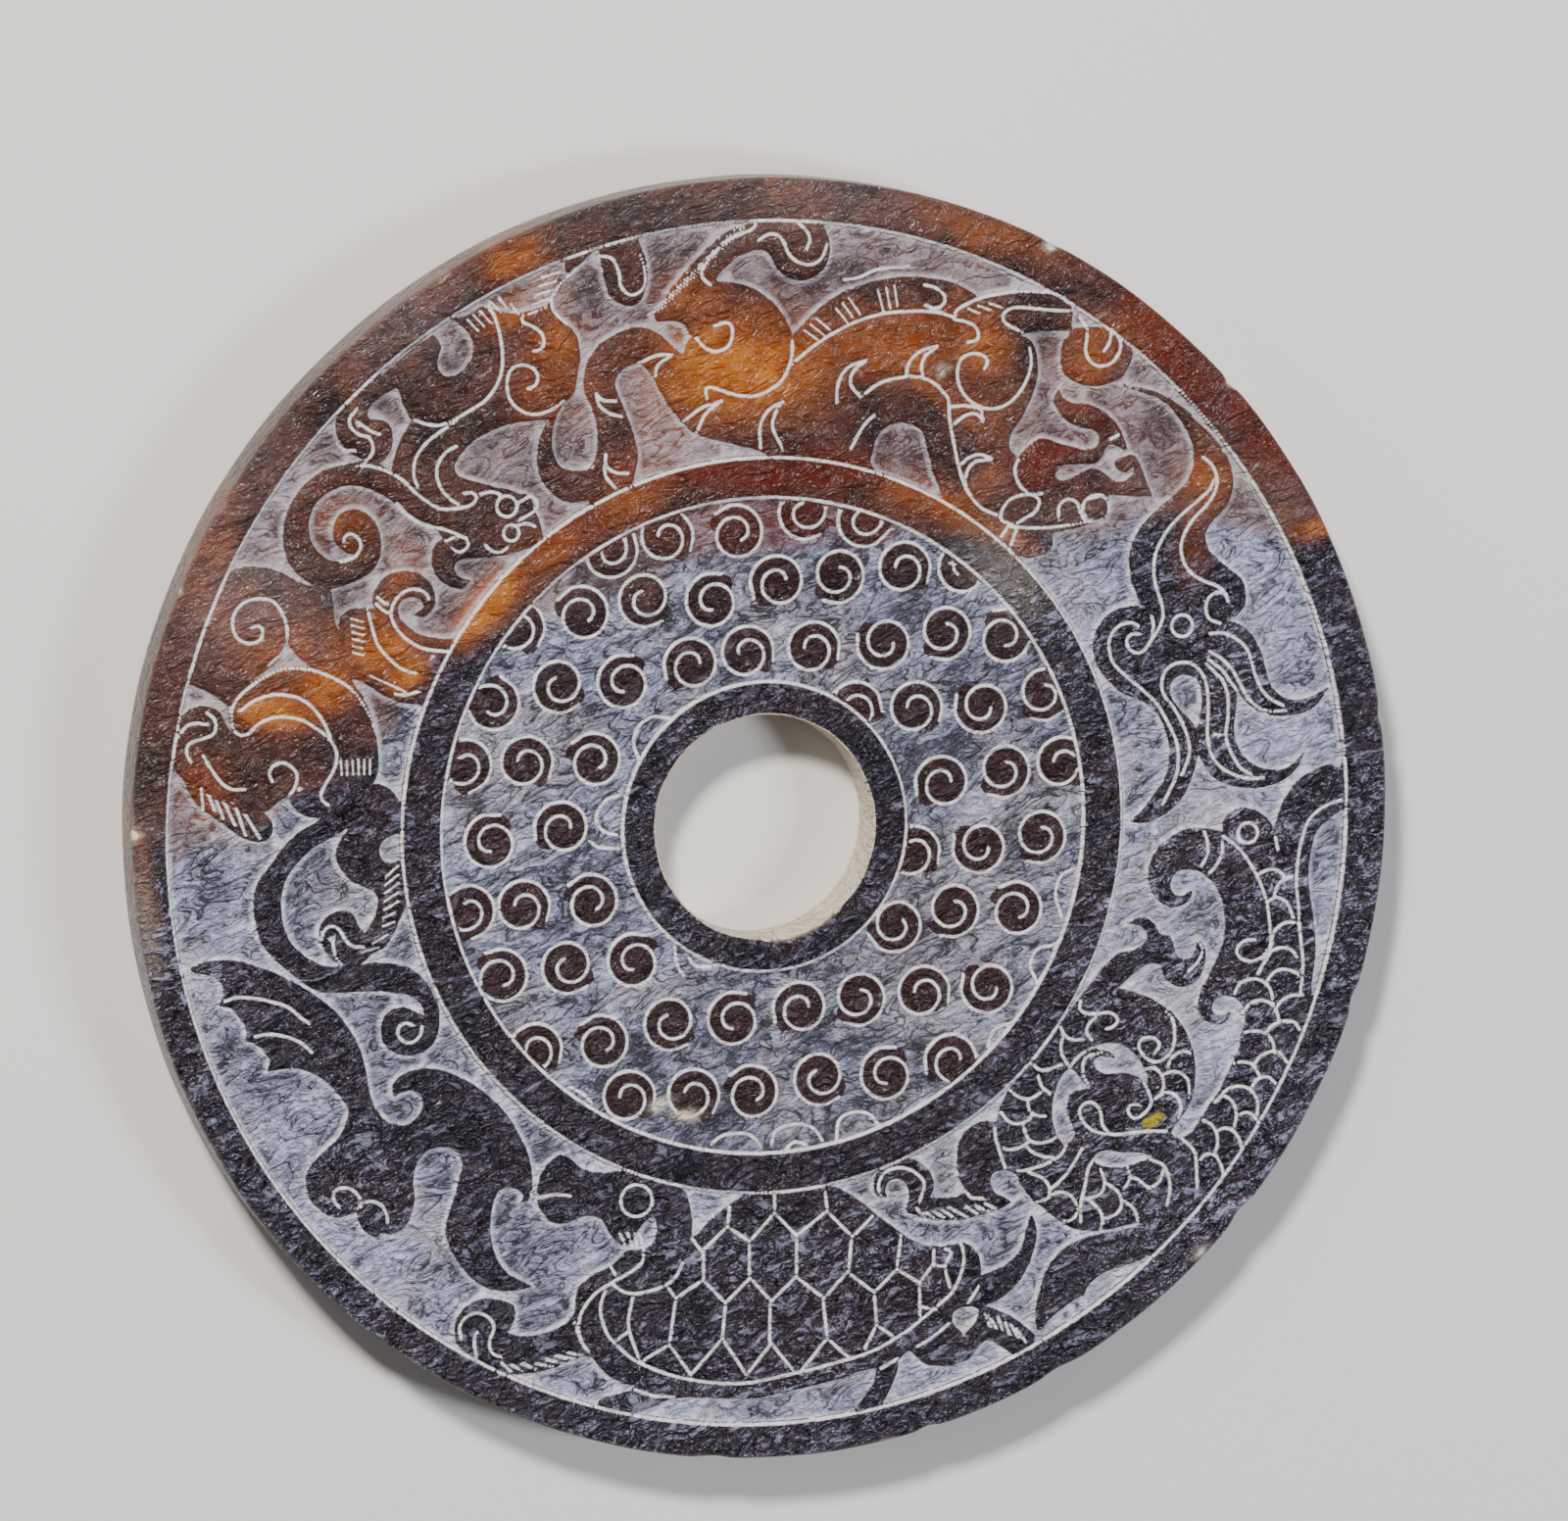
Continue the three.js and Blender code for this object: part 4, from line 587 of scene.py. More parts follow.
        (70.5, 23.3, 72, 21.8, 73.2, 20.5, 74, 18, 74, 15, 73.7, 12, 74.5, 9.5, 76, 7, 78, 5.8),
        (70.8, 24, 73, 22.3, 74.5, 20.3, 75.5, 19),
        (71, 25.3, 73, 24, 74.5, 22.5, 76, 20, 77.3, 17.8, 79, 16.2, 81, 15.6, 83.4, 15.7),
        (71, 28, 73, 28.1, 75, 27.3, 77, 25.5, 77.8, 23.3, 78.5, 21, 79.5, 19, 81, 17.5, 83, 16.5),
        (72, 12.2, 73.5, 12.2),
    ],
    "band_edge": [
        (-15.2, 17.2, -17.7, 17.4, -19.9, 15.9, -20.6, 13.4, -19.9, 11.3),
        (-22.4, 5.5, -24.9, 4.8, -26.5, 2.3, -25.6, .2, -23.5, -.6), (-27.3, -1.6, -26, -2.5, -22.4, -2.7),
        (49.9, -8.1, 47.5, -9.1, 46.5, -12, 47.5, -15.6), (46.5, -19.9, 43.6, -20.6, 42.5, -23.1, 43.6, -25.6),
        (39.3, -31.9, 36.8, -32.8, 35.7, -35.3), (1.2, -49.3, 1.9, -47.5, 4.8, -46.5, 7.7, -47.2, 9.3, -49.3),
        (3.4, -50.4, 4.8, -49.3, 6.6, -49.7), (11.5, -49, 12, -46.1, 14.2, -45, 16.7, -45.4, 18.1, -47),
        (-8.3, -49, -6.6, -47.9, -4.5, -47.6, -2.4, -47.9, -1, -49), (-30.7, -39.5, -28.9, -40.4, -27.4, -41.8),
        (-14.2, -18.1, -13.8, -21, -12.7, -22.8), (-12, -19.9, -10.9, -21.3, -8.8, -21.5, -6.6, -21.3),
    ],
}

# The tortoise's shell: zigzag rows as x, y, x, y, and the uprights between them.
SHELL_ROWS = [
    (-9.8, -65.5, -6, -62, -2.5, -64.5, 1.5, -60.2, 5, -63.9, 9.8, -60.2, 13.9, -64.4, 17.2, -61.3),
    (-14.2, -72.9, -9.9, -70.2, -6.3, -74, -2.4, -70.2, 1, -74, 4.9, -70.3, 9.4, -73.9, 13.1, -69.9, 17.4, -73.3,
     21, -69.8, 24.7, -72.1, 26.7, -69.4),
    (-19.7, -82.6, -15.2, -80.1, -11.8, -85, -6.8, -79.5, -3, -85.4, 1, -80.6, 4.4, -84.9),
    (5.9, -84.9, 9.9, -80.2, 13.3, -83.3),
    (15.9, -82, 17.8, -78.4, 20.3, -80.2),
]
SHELL_UPRIGHTS = [
    (-9.8, -65.7, -9.8, -70), (-2.5, -64.5, -2.5, -70), (5, -63.9, 5, -70.2), (13.8, -64.4, 13.3, -69.8),
    (21.7, -64.6, 21, -69.8), (-14.2, -72.9, -15.2, -80.1), (-6.3, -74, -6.8, -79.4), (0.8, -74, 0.7, -80.4),
    (9.2, -74, 9.9, -80.2), (17.4, -73.3, 17.8, -78.4), (24.7, -72.1, 24.7, -78),
]

# Rows of short parallel strokes: first stroke's ends, last stroke's ends, and how many.
COMBS = [
    ((-18.2, 79.1, -15.6, 80.4), (-4.8, 92, -2.2, 93.3), 13),
    ((32, 79.3, 33.8, 78.5), (35.5, 80, 37.2, 79.4), 3),
    ((-46.5, 79, -44.8, 77.2), (-42.6, 81.5, -41.3, 80), 5),
    ((-41, 81.6, -39.8, 80), (-39.6, 81.2, -38.5, 79.7), 2),
    ((-37, 79.6, -34.4, 80.5), (-34.5, 85.2, -31.9, 85.9), 5),
    ((-64.7, 33.8, -63.2, 33.4), (-64.4, 28.6, -62.9, 28.2), 6),
    ((-66.4, 12.2, -66.3, 9.9), (-61.9, 12.2, -61.9, 9.9), 6),
    ((-59.5, -5.9, -57.5, -4.2), (-60, -13.5, -58.2, -12.9), 7),
    ((-61.6, -16.1, -59.2, -14.8), (-63.3, -17.4, -60.6, -16.8), 2),
    ((-61.8, 25, -60.6, 24.4), (-57.4, 23, -56.4, 22.4), 5),
    ((6.2, 76.4, 8.6, 74.6), (8, 78.2, 10.2, 76.4), 3),
    ((11.2, 79.6, 13, 77.4), (13.2, 81.2, 14.9, 78.8), 3),
    ((17.8, 82.4, 18.6, 79.2), (20.4, 83, 20.9, 79.8), 3),
]

# Small rings cut round eyes and knobs: x, y, radius.
EYES = [(-40.5, 50.4, 1.6), (-39.8, 46.3, 1.25), (52.7, 48, 2.1), (-20.4, -57.4, 2.5), (77.3, -3.3, 1.6),
        (66.5, 29.4, 1.7)]

# Grain curls: x, y, the angle of the outer end, and +1 where the line turns anticlockwise outward.
CURLS = [
    (28.5, 29.4, -147, -1), (38, 28.3, 141, 1), (19, 28, 132, -1), (7.5, 27.3, -53, -1), (-2.9, 26.9, -45, -1),
    (2.1, 37.7, -117, 1), (11.5, 38.6, -150, -1), (21.9, 39.3, -58, -1), (31.6, 39.1, 0, -1), (6.4, 48.6, -27, 1),
    (15.6, 47.2, 0, 1), (14.2, 17.8, -35, -1), (23.8, 17.6, -57, -1), (34.6, 17.7, 126, -1),
    (44.3, 19.5, -147, -1), (28.3, 5.9, -126, 1), (38, 7.7, -152, -1), (47.2, 8.4, -60, -1),
    (-46.8, -11.6, -110, -1), (-38.2, -11.3, -60, -1), (-27.4, -10.9, 172, 1), (-41.6, -22, 152, 1),
    (-31, -20.6, -16, 1), (-20.6, -20.3, 34, -1), (-14.9, -29.9, -22, 1), (-4.8, -29.9, 35, -1),
    (-36.4, -33.5, -56, -1), (-25.8, -32.8, 167, 1), (-21.7, -41.4, -51, -1), (-11.6, -41.4, -70, -1),
    (-2.1, -41.4, 170, 1), (-24.4, 43.2, 60, 1), (-15.6, 45, -58, -1), (-4.5, 45.4, 167, 1),
    (-38.9, 31.7, -70, -1), (-28.7, 33.5, 178, 1), (-18.8, 35.7, -22, 1), (-8.2, 35, 41, -1),
    (-42.9, 20.1, 100, 1), (-32.3, 22.8, -15, 1), (-22.1, 22.8, 41, -1), (-11.5, 25.3, -122, 1),
    (-47.2, 10.9, -110, -1), (-37.7, 10.9, -62, -1), (-26.9, 10.9, 170, 1), (-43, -1.2, 41, -1),
    (-31.9, .6, -130, 1), (23.5, -4.8, -53, -1), (34.3, -4.1, 126, -1), (43.8, -2.7, -146, -1),
    (20.8, -15.9, 170, -1), (29.9, -13.8, -145, -1), (40, -14.2, 156, 1), (5.7, -28.5, -123, 1),
    (14.9, -27.1, -149, -1), (25.1, -26.7, -52, -1), (35.7, -26, 124, -1), (8.8, -39.3, -16, 1),
    (19.5, -39.3, 41, -1), (29.9, -37.5, -125, 1),
]

# The raised curl that stands in the ground beside the tiger's tail.
TAIL_CURL = [(-26, 89.6), (-24.8, 84), (-24, 82), (-22, 80.8), (-20, 81), (-18.8, 83), (-18.5, 86), (-19.5, 89.6),
             (-22.5, 95), (-26, 89.6)]

# The brown stone lies above this line: x values, then y values.
WARM_LINE = ([-98, -80, -65, -58, -50, -34, -12, 18, 54, 88, 100], [-2, 1, 6, 17, 26, 34, 41, 44, 43, 46, 48])

# Soft coloured spots: x, y, half length, half width, turn in degrees, strength.
AMBER = [
    (-40, 80, 5, 3, 30, .55), (-33, 75, 5, 4, 0, .55), (-4, 71, 15, 8, 5, 1), (20, 74, 14, 6, 0, .5),
    (34, 73, 5, 5, 0, .6), (50, 71, 5, 5, 0, .4), (-43, 36, 9, 3, 48, 1), (-33, 44, 7, 2.5, 38, .7),
    (30, 48, 8, 2.5, -25, .7), (40, 43, 6, 2, -30, .6), (70, 52, 6, 5, 0, .5), (68, 42, 3, 6, 0, .4),
    (-60, 29, 6, 4, 0, .75), (-56, 25, 4, 3, 30, .8), (-69, 23, 5, 3.5, 0, .8), (-76, 20, 7, 3, 0, .9),
    (-78, 28, 6, 4, 0, .45), (-88, 8, 4, 5, 0, .45), (88, 44, 6, 2, 10, .8), (-97, -6, 2.0, 7, 8, .35),
    (-40, 88, 5, 3, 25, .65), (-66, 48, 5, 5, 0, .4), (35, 91, 12, 2.5, -20, .45), (-12, 82, 6, 4, 0, .5),
    (-22, 50, 9, 3, 25, .5), (24, 51, 8, 3, -20, .5), (-33, 68, 7, 6, 0, .4),
]
RED = [(0, 55, 26, 3.5, 0, .9), (0, 46, 24, 4, 0, .7), (45, 55, 7, 5, 0, .8), (-88, 8, 5, 5, 0, .5),
       (78, 60, 12, 4, 125, .8),
       (55, 62, 5, 4, 0, .5), (12, 46, 14, 4, 0, .5), (-32, 45, 10, 3, 38, .6), (64, 73, 14, 4, 128, .8)]
PALE = [
    (74.3, 66.9, .9, .6, 0, 1), (45.2, 88.6, .9, .7, 0, 1), (-85.5, 51.4, 1, .8, 0, 1), (-91.7, 38.8, .9, .7, 0, 1),
    (-93.5, 36, .8, .6, 0, .9), (-98.5, 1.6, .9, .9, 0, .9), (27.7, 69.8, .8, .7, 0, .9),
    (-16.6, -42.6, 1.8, .9, 20, .8), (-12.6, -44.4, 2.2, .8, -5, .8),
    (70, -69, 1.4, .8, 40, .6), (20, -97, 1.5, .8, 0, .6), (-96.5, -12, 1.8, 9, 8, .24), (38, 38, 8, 5, -45, .20),
]
# Where the bloom and the silt are thickest, and where the painted glints are brightest.
SILT_AND_GLINT_SPOTS = [(85, -40, 45, 70, 0, 1), (60, 35, 30, 22, 0, .9), (-5, -92, 70, 16, 0, .8), (-74, -64, 26, 34, 20, .8),
        (0, -67, 40, 8, 0, .7), (80, 20, 22, 40, 0, .9), (-92, -15, 10, 25, 0, .9), (-24, 2, 32, 44, 0, .6),
        (94, 14, 8, 40, 0, 1), (42, 36, 8, 9, 45, 1), (70, -69, 16, 16, 0, 1), (0, 96, 60, 7, 0, .8),
        (-80, 36, 13, 12, 0, 1), (-57, 80, 12, 9, 35, 1), (-79, 56, 13, 9, 55, .6), (-66, -72, 30, 10, -45, .8)]
OCHRE = [(62.2, -47.9, 2.6, 1.3, 30, 1), (62, -32, 9, 15, 0, .24)]

SPOTS = {"amber": AMBER, "red": RED, "pale": PALE, "worn": SILT_AND_GLINT_SPOTS}

# Worn places on the outer edge: angle, half width in degrees, depth.
RIM_CHIPS = [(-40, 1.2, .7), (-62, 1.6, .5), (-18, 1.0, .6), (-95, 1.4, .5), (-128, 1.0, .5), (63, .8, .5),
             (149, .8, .6), (178, .9, .6), (42, .7, .5), (-75, .9, .6), (8, .8, .4)]


def pairs(flat):
    """A flat row of x, y, x, y as points."""
    return list(zip(flat[::2], flat[1::2]))


def smooth_points(points, step):
    """A smooth run through the points, sampled every step or so."""
    p = np.array(points, float)
    if len(p) > 2:
        q = np.vstack([2 * p[0] - p[1], p, 2 * p[-1] - p[-2]])
        fine = []
        for a, b, c, d in zip(q, q[1:], q[2:], q[3:]):
            t = np.linspace(0, 1, 6, endpoint=False)[:, None]
            fine.append(0.5 * (2 * b + (c - a) * t + (2 * a - 5 * b + 4 * c - d) * t ** 2
                               + (3 * b - a - 3 * c + d) * t ** 3))
        p = np.vstack(fine + [q[-2:-1]])
    length = np.concatenate([[0], np.cumsum(np.hypot(*np.diff(p, axis=0).T))])
    count = max(2, int(round(length[-1] / step)) + 1)
    along = np.linspace(0, length[-1], count)
    return np.column_stack([np.interp(along, length, p[:, 0]), np.interp(along, length, p[:, 1])])


def outline_points(flat_runs, step):
    """A closed outline of smooth runs that meet in corners."""
    runs = [pairs(flat) for flat in flat_runs]
    return np.vstack([smooth_points([runs[i - 1][-1]] + run, step)[:-1] for i, run in enumerate(runs)])


def circle_points(x, y, radius, step):
    """Points round a circle, a step or so apart."""
    a = np.linspace(0, 2 * math.pi, max(8, int(2 * math.pi * radius / step)), endpoint=False)
    return np.column_stack([x + radius * np.cos(a), y + radius * np.sin(a)])


def unit_ring(count):
    """The angles of a circle's points, from -180 degrees on, and the points at radius 1."""
    angles = np.linspace(-math.pi, math.pi, count, endpoint=False)
    return angles, np.column_stack([np.cos(angles), np.sin(angles)])


def inside(points, outline):
    """Which points lie inside a closed outline, by the even-odd rule."""
    x, y = points[:, 0], points[:, 1]
    found = np.zeros(len(points), bool)
    ax, ay = outline[:, 0], outline[:, 1]
    bx, by = np.roll(ax, -1), np.roll(ay, -1)
    for i in range(len(outline)):
        if ay[i] != by[i]:
            crosses = (ay[i] > y) != (by[i] > y)
            found ^= crosses & (x < (bx[i] - ax[i]) * (y - ay[i]) / (by[i] - ay[i]) + ax[i])
    return found


def side_rows(line, offsets, closed=False):
    """Copies of a line set off to its sides."""
    if closed:
        along = np.roll(line, -1, axis=0) - np.roll(line, 1, axis=0)
    else:
        along = np.gradient(line, axis=0)
    along /= np.maximum(np.hypot(along[:, 0], along[:, 1]), 1e-9)[:, None]
    across = np.column_stack([-along[:, 1], along[:, 0]])
    return [line + across * o for o in offsets]


def with_rows(line, offset=ROW_OFFSET, closed=True):
    """A line together with one row of points on each side of it."""
    return np.vstack([line] + side_rows(line, (-offset, offset), closed))


def curl_points(x, y, end, hand, step):
    """A grain's line, from its middle out to the end's angle."""
    u = np.linspace(0, 1, 60)
    r = CURL_START + CURL_GROWTH * (1 - (1 - u) ** CURL_POWER)
    a = np.radians(end - hand * CURL_TURN * (1 - u))
    return smooth_points(np.column_stack([x + r * np.cos(a), y + r * np.sin(a)])[::4], step)


def shell_strokes():
    """The plates of the tortoise's shell: zigzags joined by upright strokes."""
    strokes = []
    for flat in SHELL_ROWS:
        row = pairs(flat)
        strokes += [[a, b] for a, b in zip(row, row[1:])]
    return strokes + [pairs(flat) for flat in SHELL_UPRIGHTS]


def comb_strokes():
    """The short strokes of the combs."""
    strokes = []
    for first, last, count in COMBS:
        for t in np.linspace(0, 1, count):
            strokes.append(pairs([a + (b - a) * t for a, b in zip(first, last)]))
    return strokes


class Design:
    """All outlines and lines of the carved face as sampled points."""

    def __init__(self, step):
        self.pockets = [outline_points(runs, step) for runs in GROUND.values()]
        self.island = smooth_points(TAIL_CURL, step)
        beasts = [pairs(flat) for group in CUTS.values() for flat in group]
        self.lines = [smooth_points(line, step) for line in beasts + shell_strokes()]
        self.combs = [smooth_points(stroke, step) for stroke in comb_strokes()]
        self.eyes = [circle_points(x, y, r, 0.7) for x, y, r in EYES]
        self.rings = [circle_points(0, 0, r, step) for r in RINGS]
        self.curls = []
        for curl in CURLS:
            line = curl_points(*curl, step)
            r = np.hypot(line[:, 0], line[:, 1])
            line = line[(r > COLLAR + 0.5) & (r < RING_INNER - 0.5)]
            if len(line) > 2:
                self.curls.append(line)

    def in_pockets(self, points):
        """Which points lie in the sunk ground."""
        found = np.zeros(len(points), bool)
        for p in self.pockets:
            found |= inside(points, p)
        return found & in_relief(points) & ~inside(points, self.island)

    def borders(self):
        """Samples of the sunk ground's true edge, with those inside another pocket dropped."""
        kept = [self.island[in_relief(self.island)]]
        for i, p in enumerate(self.pockets):
            keep = in_relief(p) & ~inside(p, self.island)
            for other in self.pockets[:i] + self.pockets[i + 1:]:
                keep &= ~inside(p, other)
            kept.append(p[keep])
        return np.vstack(kept)


def in_relief(points):
    """Which points lie in the broad band of beasts."""
    r = np.hypot(points[:, 0], points[:, 1])
    return (r > RING_OUTER) & (r < RIM_LINE)


def tree_of(samples):
    """A search tree over points of the face."""
    tree = kdtree.KDTree(len(samples))
    for i, (x, y) in enumerate(samples):
        tree.insert((x, y, 0), i)
    tree.balance()
    return tree


def nearest(points, samples):
    """How far each point is from the nearest sample."""
    tree = tree_of(samples)
    return np.array([tree.find((x, y, 0))[2] for x, y in points])


def thin(groups, gap):
    """Joins groups of points and drops those that crowd an earlier one."""
    points = np.vstack(groups)
    for shift in (0.0, 0.5):
        cells = np.floor(points / gap + shift).astype(np.int64)
        _, first = np.unique(cells[:, 0] * 1000003 + cells[:, 1], return_index=True)
        points = points[np.sort(first)]
    return points


def fill_points(step):
    """A loose honeycomb of points, each moved a little so that no row shows."""
    reach = int(101 / step)
    i, j = np.meshgrid(np.arange(-reach, reach + 1), np.arange(-reach * 2, reach * 2 + 1))
    fill = np.column_stack([(i + 0.5 * (j % 2)).ravel() * step, j.ravel() * step * 0.866])
    tick = np.arange(len(fill))
    fill[:, 0] += 0.22 * step * np.sin(tick * 12.9898)
    fill[:, 1] += 0.22 * step * np.sin(tick * 78.233)
    return fill


def face_points(design, sizes):
    """Points of the carved face: rows along every line, and a loose fill between them."""
    groups = [with_rows(line, closed=False) for line in design.lines + design.combs + design.curls]
    groups += [with_rows(ring) for ring in design.rings + design.eyes]
    for pocket in design.pockets + [design.island]:
        groups.append(np.vstack(side_rows(pocket, (-ROW_OFFSET, 0.0, ROW_OFFSET), closed=True)))
    rows = thin(groups, POINT_GAP)
    fill = fill_points(sizes.fill_step)
    points = np.vstack([rows, fill[nearest(fill, rows) > 0.55 * sizes.fill_step]])
    r = np.hypot(points[:, 0], points[:, 1])
    outer = np.hypot(points[:, 0] + RINGS_X, points[:, 1] + RINGS_Y)
    a = np.arctan2(points[:, 1], points[:, 0])
    return points[(r > bore_edge(a) + 0.5) & (outer < edge_radius(a) - 0.5)]


def ripple(angle, seed, waves):
    """A smooth closed wobble between about -1 and 1."""
    total = np.zeros_like(angle)
    for k, w in enumerate(waves):
        total += np.sin(angle * w + seed * (k + 1) * 1.7) / (1 + k * 0.5)
    return total / 2


def edge_radius(angle):
    """The face's outer edge, worn and chipped here and there."""
    wear = 0.10 + 0.10 * ripple(angle, 1.3, (5, 11, 23, 41))
    for at, width, depth in RIM_CHIPS:
        d = np.abs((np.degrees(angle) - at + 180) % 360 - 180)
        wear = wear + depth * np.exp(-(d / width) ** 2)
    return OUTLINE_RADIUS - BEVEL - wear


def bore_edge(angle):
    """The bore's front edge, with one long shallow chip."""
    d = np.degrees(angle) % 360
    chip = np.clip((d - 268) / 8, 0, 1) * np.clip((314 - d) / 9, 0, 1)
    return BORE_RADIUS + 0.35 + 0.12 * ripple(angle, 2.1, (4, 9, 17)) + 1.2 * chip


def ease(x, low, high):
    """0 below low, 1 above high, and a smooth rise between them."""
    t = np.clip((x - low) / (high - low), 0, 1)
    return t * t * (3 - 2 * t)


def blobs(points, spots):
    """How strongly soft round spots cover each point: x, y, half length, half width, turn, strength."""
    total = np.zeros(len(points))
    for x, y, rx, ry, turn, strength in spots:
        c, s = math.cos(math.radians(turn)), math.sin(math.radians(turn))
        dx, dy = points[:, 0] - x, points[:, 1] - y
        u, v = (dx * c + dy * s) / rx, (dy * c - dx * s) / ry
        total = np.maximum(total, strength * np.exp(-(u * u + v * v) ** 1.3))
    return total


def fractal(points, scale, octaves, seed):
    """Fractal noise over the face."""
    return np.array([noise.fractal(Vector((x * scale, y * scale, seed)), 0.6, 2.0, octaves) for x, y in points])


def warmth(points, ragged=0.0):
    """How far each point lies in the brown stone, from 0 to 1."""
    boundary = np.interp(points[:, 0], *WARM_LINE)
    return ease(points[:, 1] - boundary + ragged, -5, 7)


def grain_field(points):
    """For each point, how far it is from its grain's middle and how far outside the grain's line."""
    curls = np.array(CURLS)
    tree = tree_of(curls[:, :2])
    own = curls[[tree.find((x, y, 0))[1] for x, y in points]]
    offset = points - own[:, :2]
    to_middle = np.hypot(offset[:, 0], offset[:, 1])
    turned = ((own[:, 2] - np.degrees(np.arctan2(offset[:, 1], offset[:, 0]))) * own[:, 3]) % 360 / CURL_TURN
    return to_middle, to_middle - (CURL_START + CURL_GROWTH * (1 - turned ** CURL_POWER))


def carve(points, design, sizes):
    """Height under the highest face, and the maps that the stone's colours follow."""
    r = np.hypot(points[:, 0], points[:, 1])
    # Comb strokes are finer than the other lines.
    to_line = np.minimum(nearest(points, np.vstack(design.lines + design.eyes + design.rings)),
                         nearest(points, np.vstack(design.combs)) + 0.09)
    band = ease(r, COLLAR, COLLAR + 0.5) * ease(-r, -RING_INNER, -RING_INNER + 0.5)
    in_band = band > 0
    to_cut = np.minimum(to_line, np.where(in_band, nearest(points, np.vstack(design.curls)), 9))
    to_grain, past_line = grain_field(points)
    # Positive in the sunk ground, negative on the figures.
    edge = np.where(design.in_pockets(points), 1, -1) * nearest(points, design.borders())
    ring_gap = np.minimum(np.abs(r - RIM_LINE), np.abs(r - RING_OUTER))
    edge = np.where(edge > 0, np.minimum(edge, ring_gap), edge).clip(-FAR, FAR)

    height = -sizes.ground_depth * ease(edge, -0.30, 0.36)
    boss = np.clip(1 - (to_grain / GRAIN_RADIUS) ** 3, 0, 1)
    height += band * (-sizes.band_depth + sizes.band_depth * 0.92 * boss ** 0.55)
    groove = 1 - ease(to_cut, CUT_FLOOR, CUT_LIP)
    height -= sizes.line_depth * groove * np.where(edge > 0.4, 0.35, 1)
    # The figures swell a little towards their middles.
    height += np.where(in_relief(points) & (edge < 0), 0.14 * ease(-edge, 0.2, 2.4) - 0.14, 0)
    height += 0.06 * fractal(points, 0.11, 3, 4.0) + 0.05 * fractal(points, 0.42, 3, 9.0)
    maps = {
        "line": to_cut.clip(0, FAR),
        "ground": np.maximum(edge, np.where(in_band, np.clip(past_line, -FAR, FAR), -FAR)),
        "warm": warmth(points, 5 * fractal(points, 0.07, 3, 1.0)),
        "band": band,
        "ochre": blobs(points, OCHRE),
    }
    for name, spots in SPOTS.items():
        maps[name] = blobs(points, spots)
    return height, maps


def triangles(plane, flip=False):
    """Delaunay triangles between the outer edge and the bore's edge, whose points come first in the plane."""
    result = delaunay_2d_cdt([Vector(p) for p in plane], [], [], 0, 1e-5)
    origin = [o[0] for o in result[3]]
    corners = np.array([[origin[i] for i in face] for face in result[2]])
    middles = plane[corners].mean(axis=1)
    outer, bore = plane[:RIM_POINTS], plane[RIM_POINTS:RIM_POINTS + BORE_POINTS]
    found = []
    for a, b, c in corners[inside(middles, outer) & ~inside(middles, bore)].tolist():
        (ax, ay), (bx, by), (cx, cy) = plane[a], plane[b], plane[c]
        up = (bx - ax) * (cy - ay) - (by - ay) * (cx - ax) > 0
        found.append((a, b, c) if up != flip else (a, c, b))
    return found


class Shell:
    """Collects the disc's vertices and faces."""

    def __init__(self):
        self.vertices, self.faces, self.count = [], [], 0

    def add(self, xy, z):
        """Adds vertices and returns the first one's number."""
        self.vertices.append(np.column_stack([xy, np.broadcast_to(z, len(xy))]))
        self.count += len(xy)
        return self.count - len(xy)

    def wall_ring(self, last, xy, z, flip):
        """Adds a ring of a wall, joined by faces to the last one, and returns its first vertex."""
        first, n = self.add(xy, z), len(xy)
        for i in range(n):
            k = (i + 1) % n
            quad = (last + i, last + k, first + k, first + i)
            self.faces.append(quad[::-1] if flip else quad)
        return first


def back_points():
    """Points of the plain back: rows along the cut rings, and loose circles between them."""
    groups = [with_rows(circle_points(0, 0, r, 1.2), 0.45) for r in RINGS]
    groups += [circle_points(0, 0, r, 2.6) for r in np.arange(BORE_RADIUS + 2, OUTLINE_RADIUS - 1, 2.6)]
    return thin(groups, 0.4)


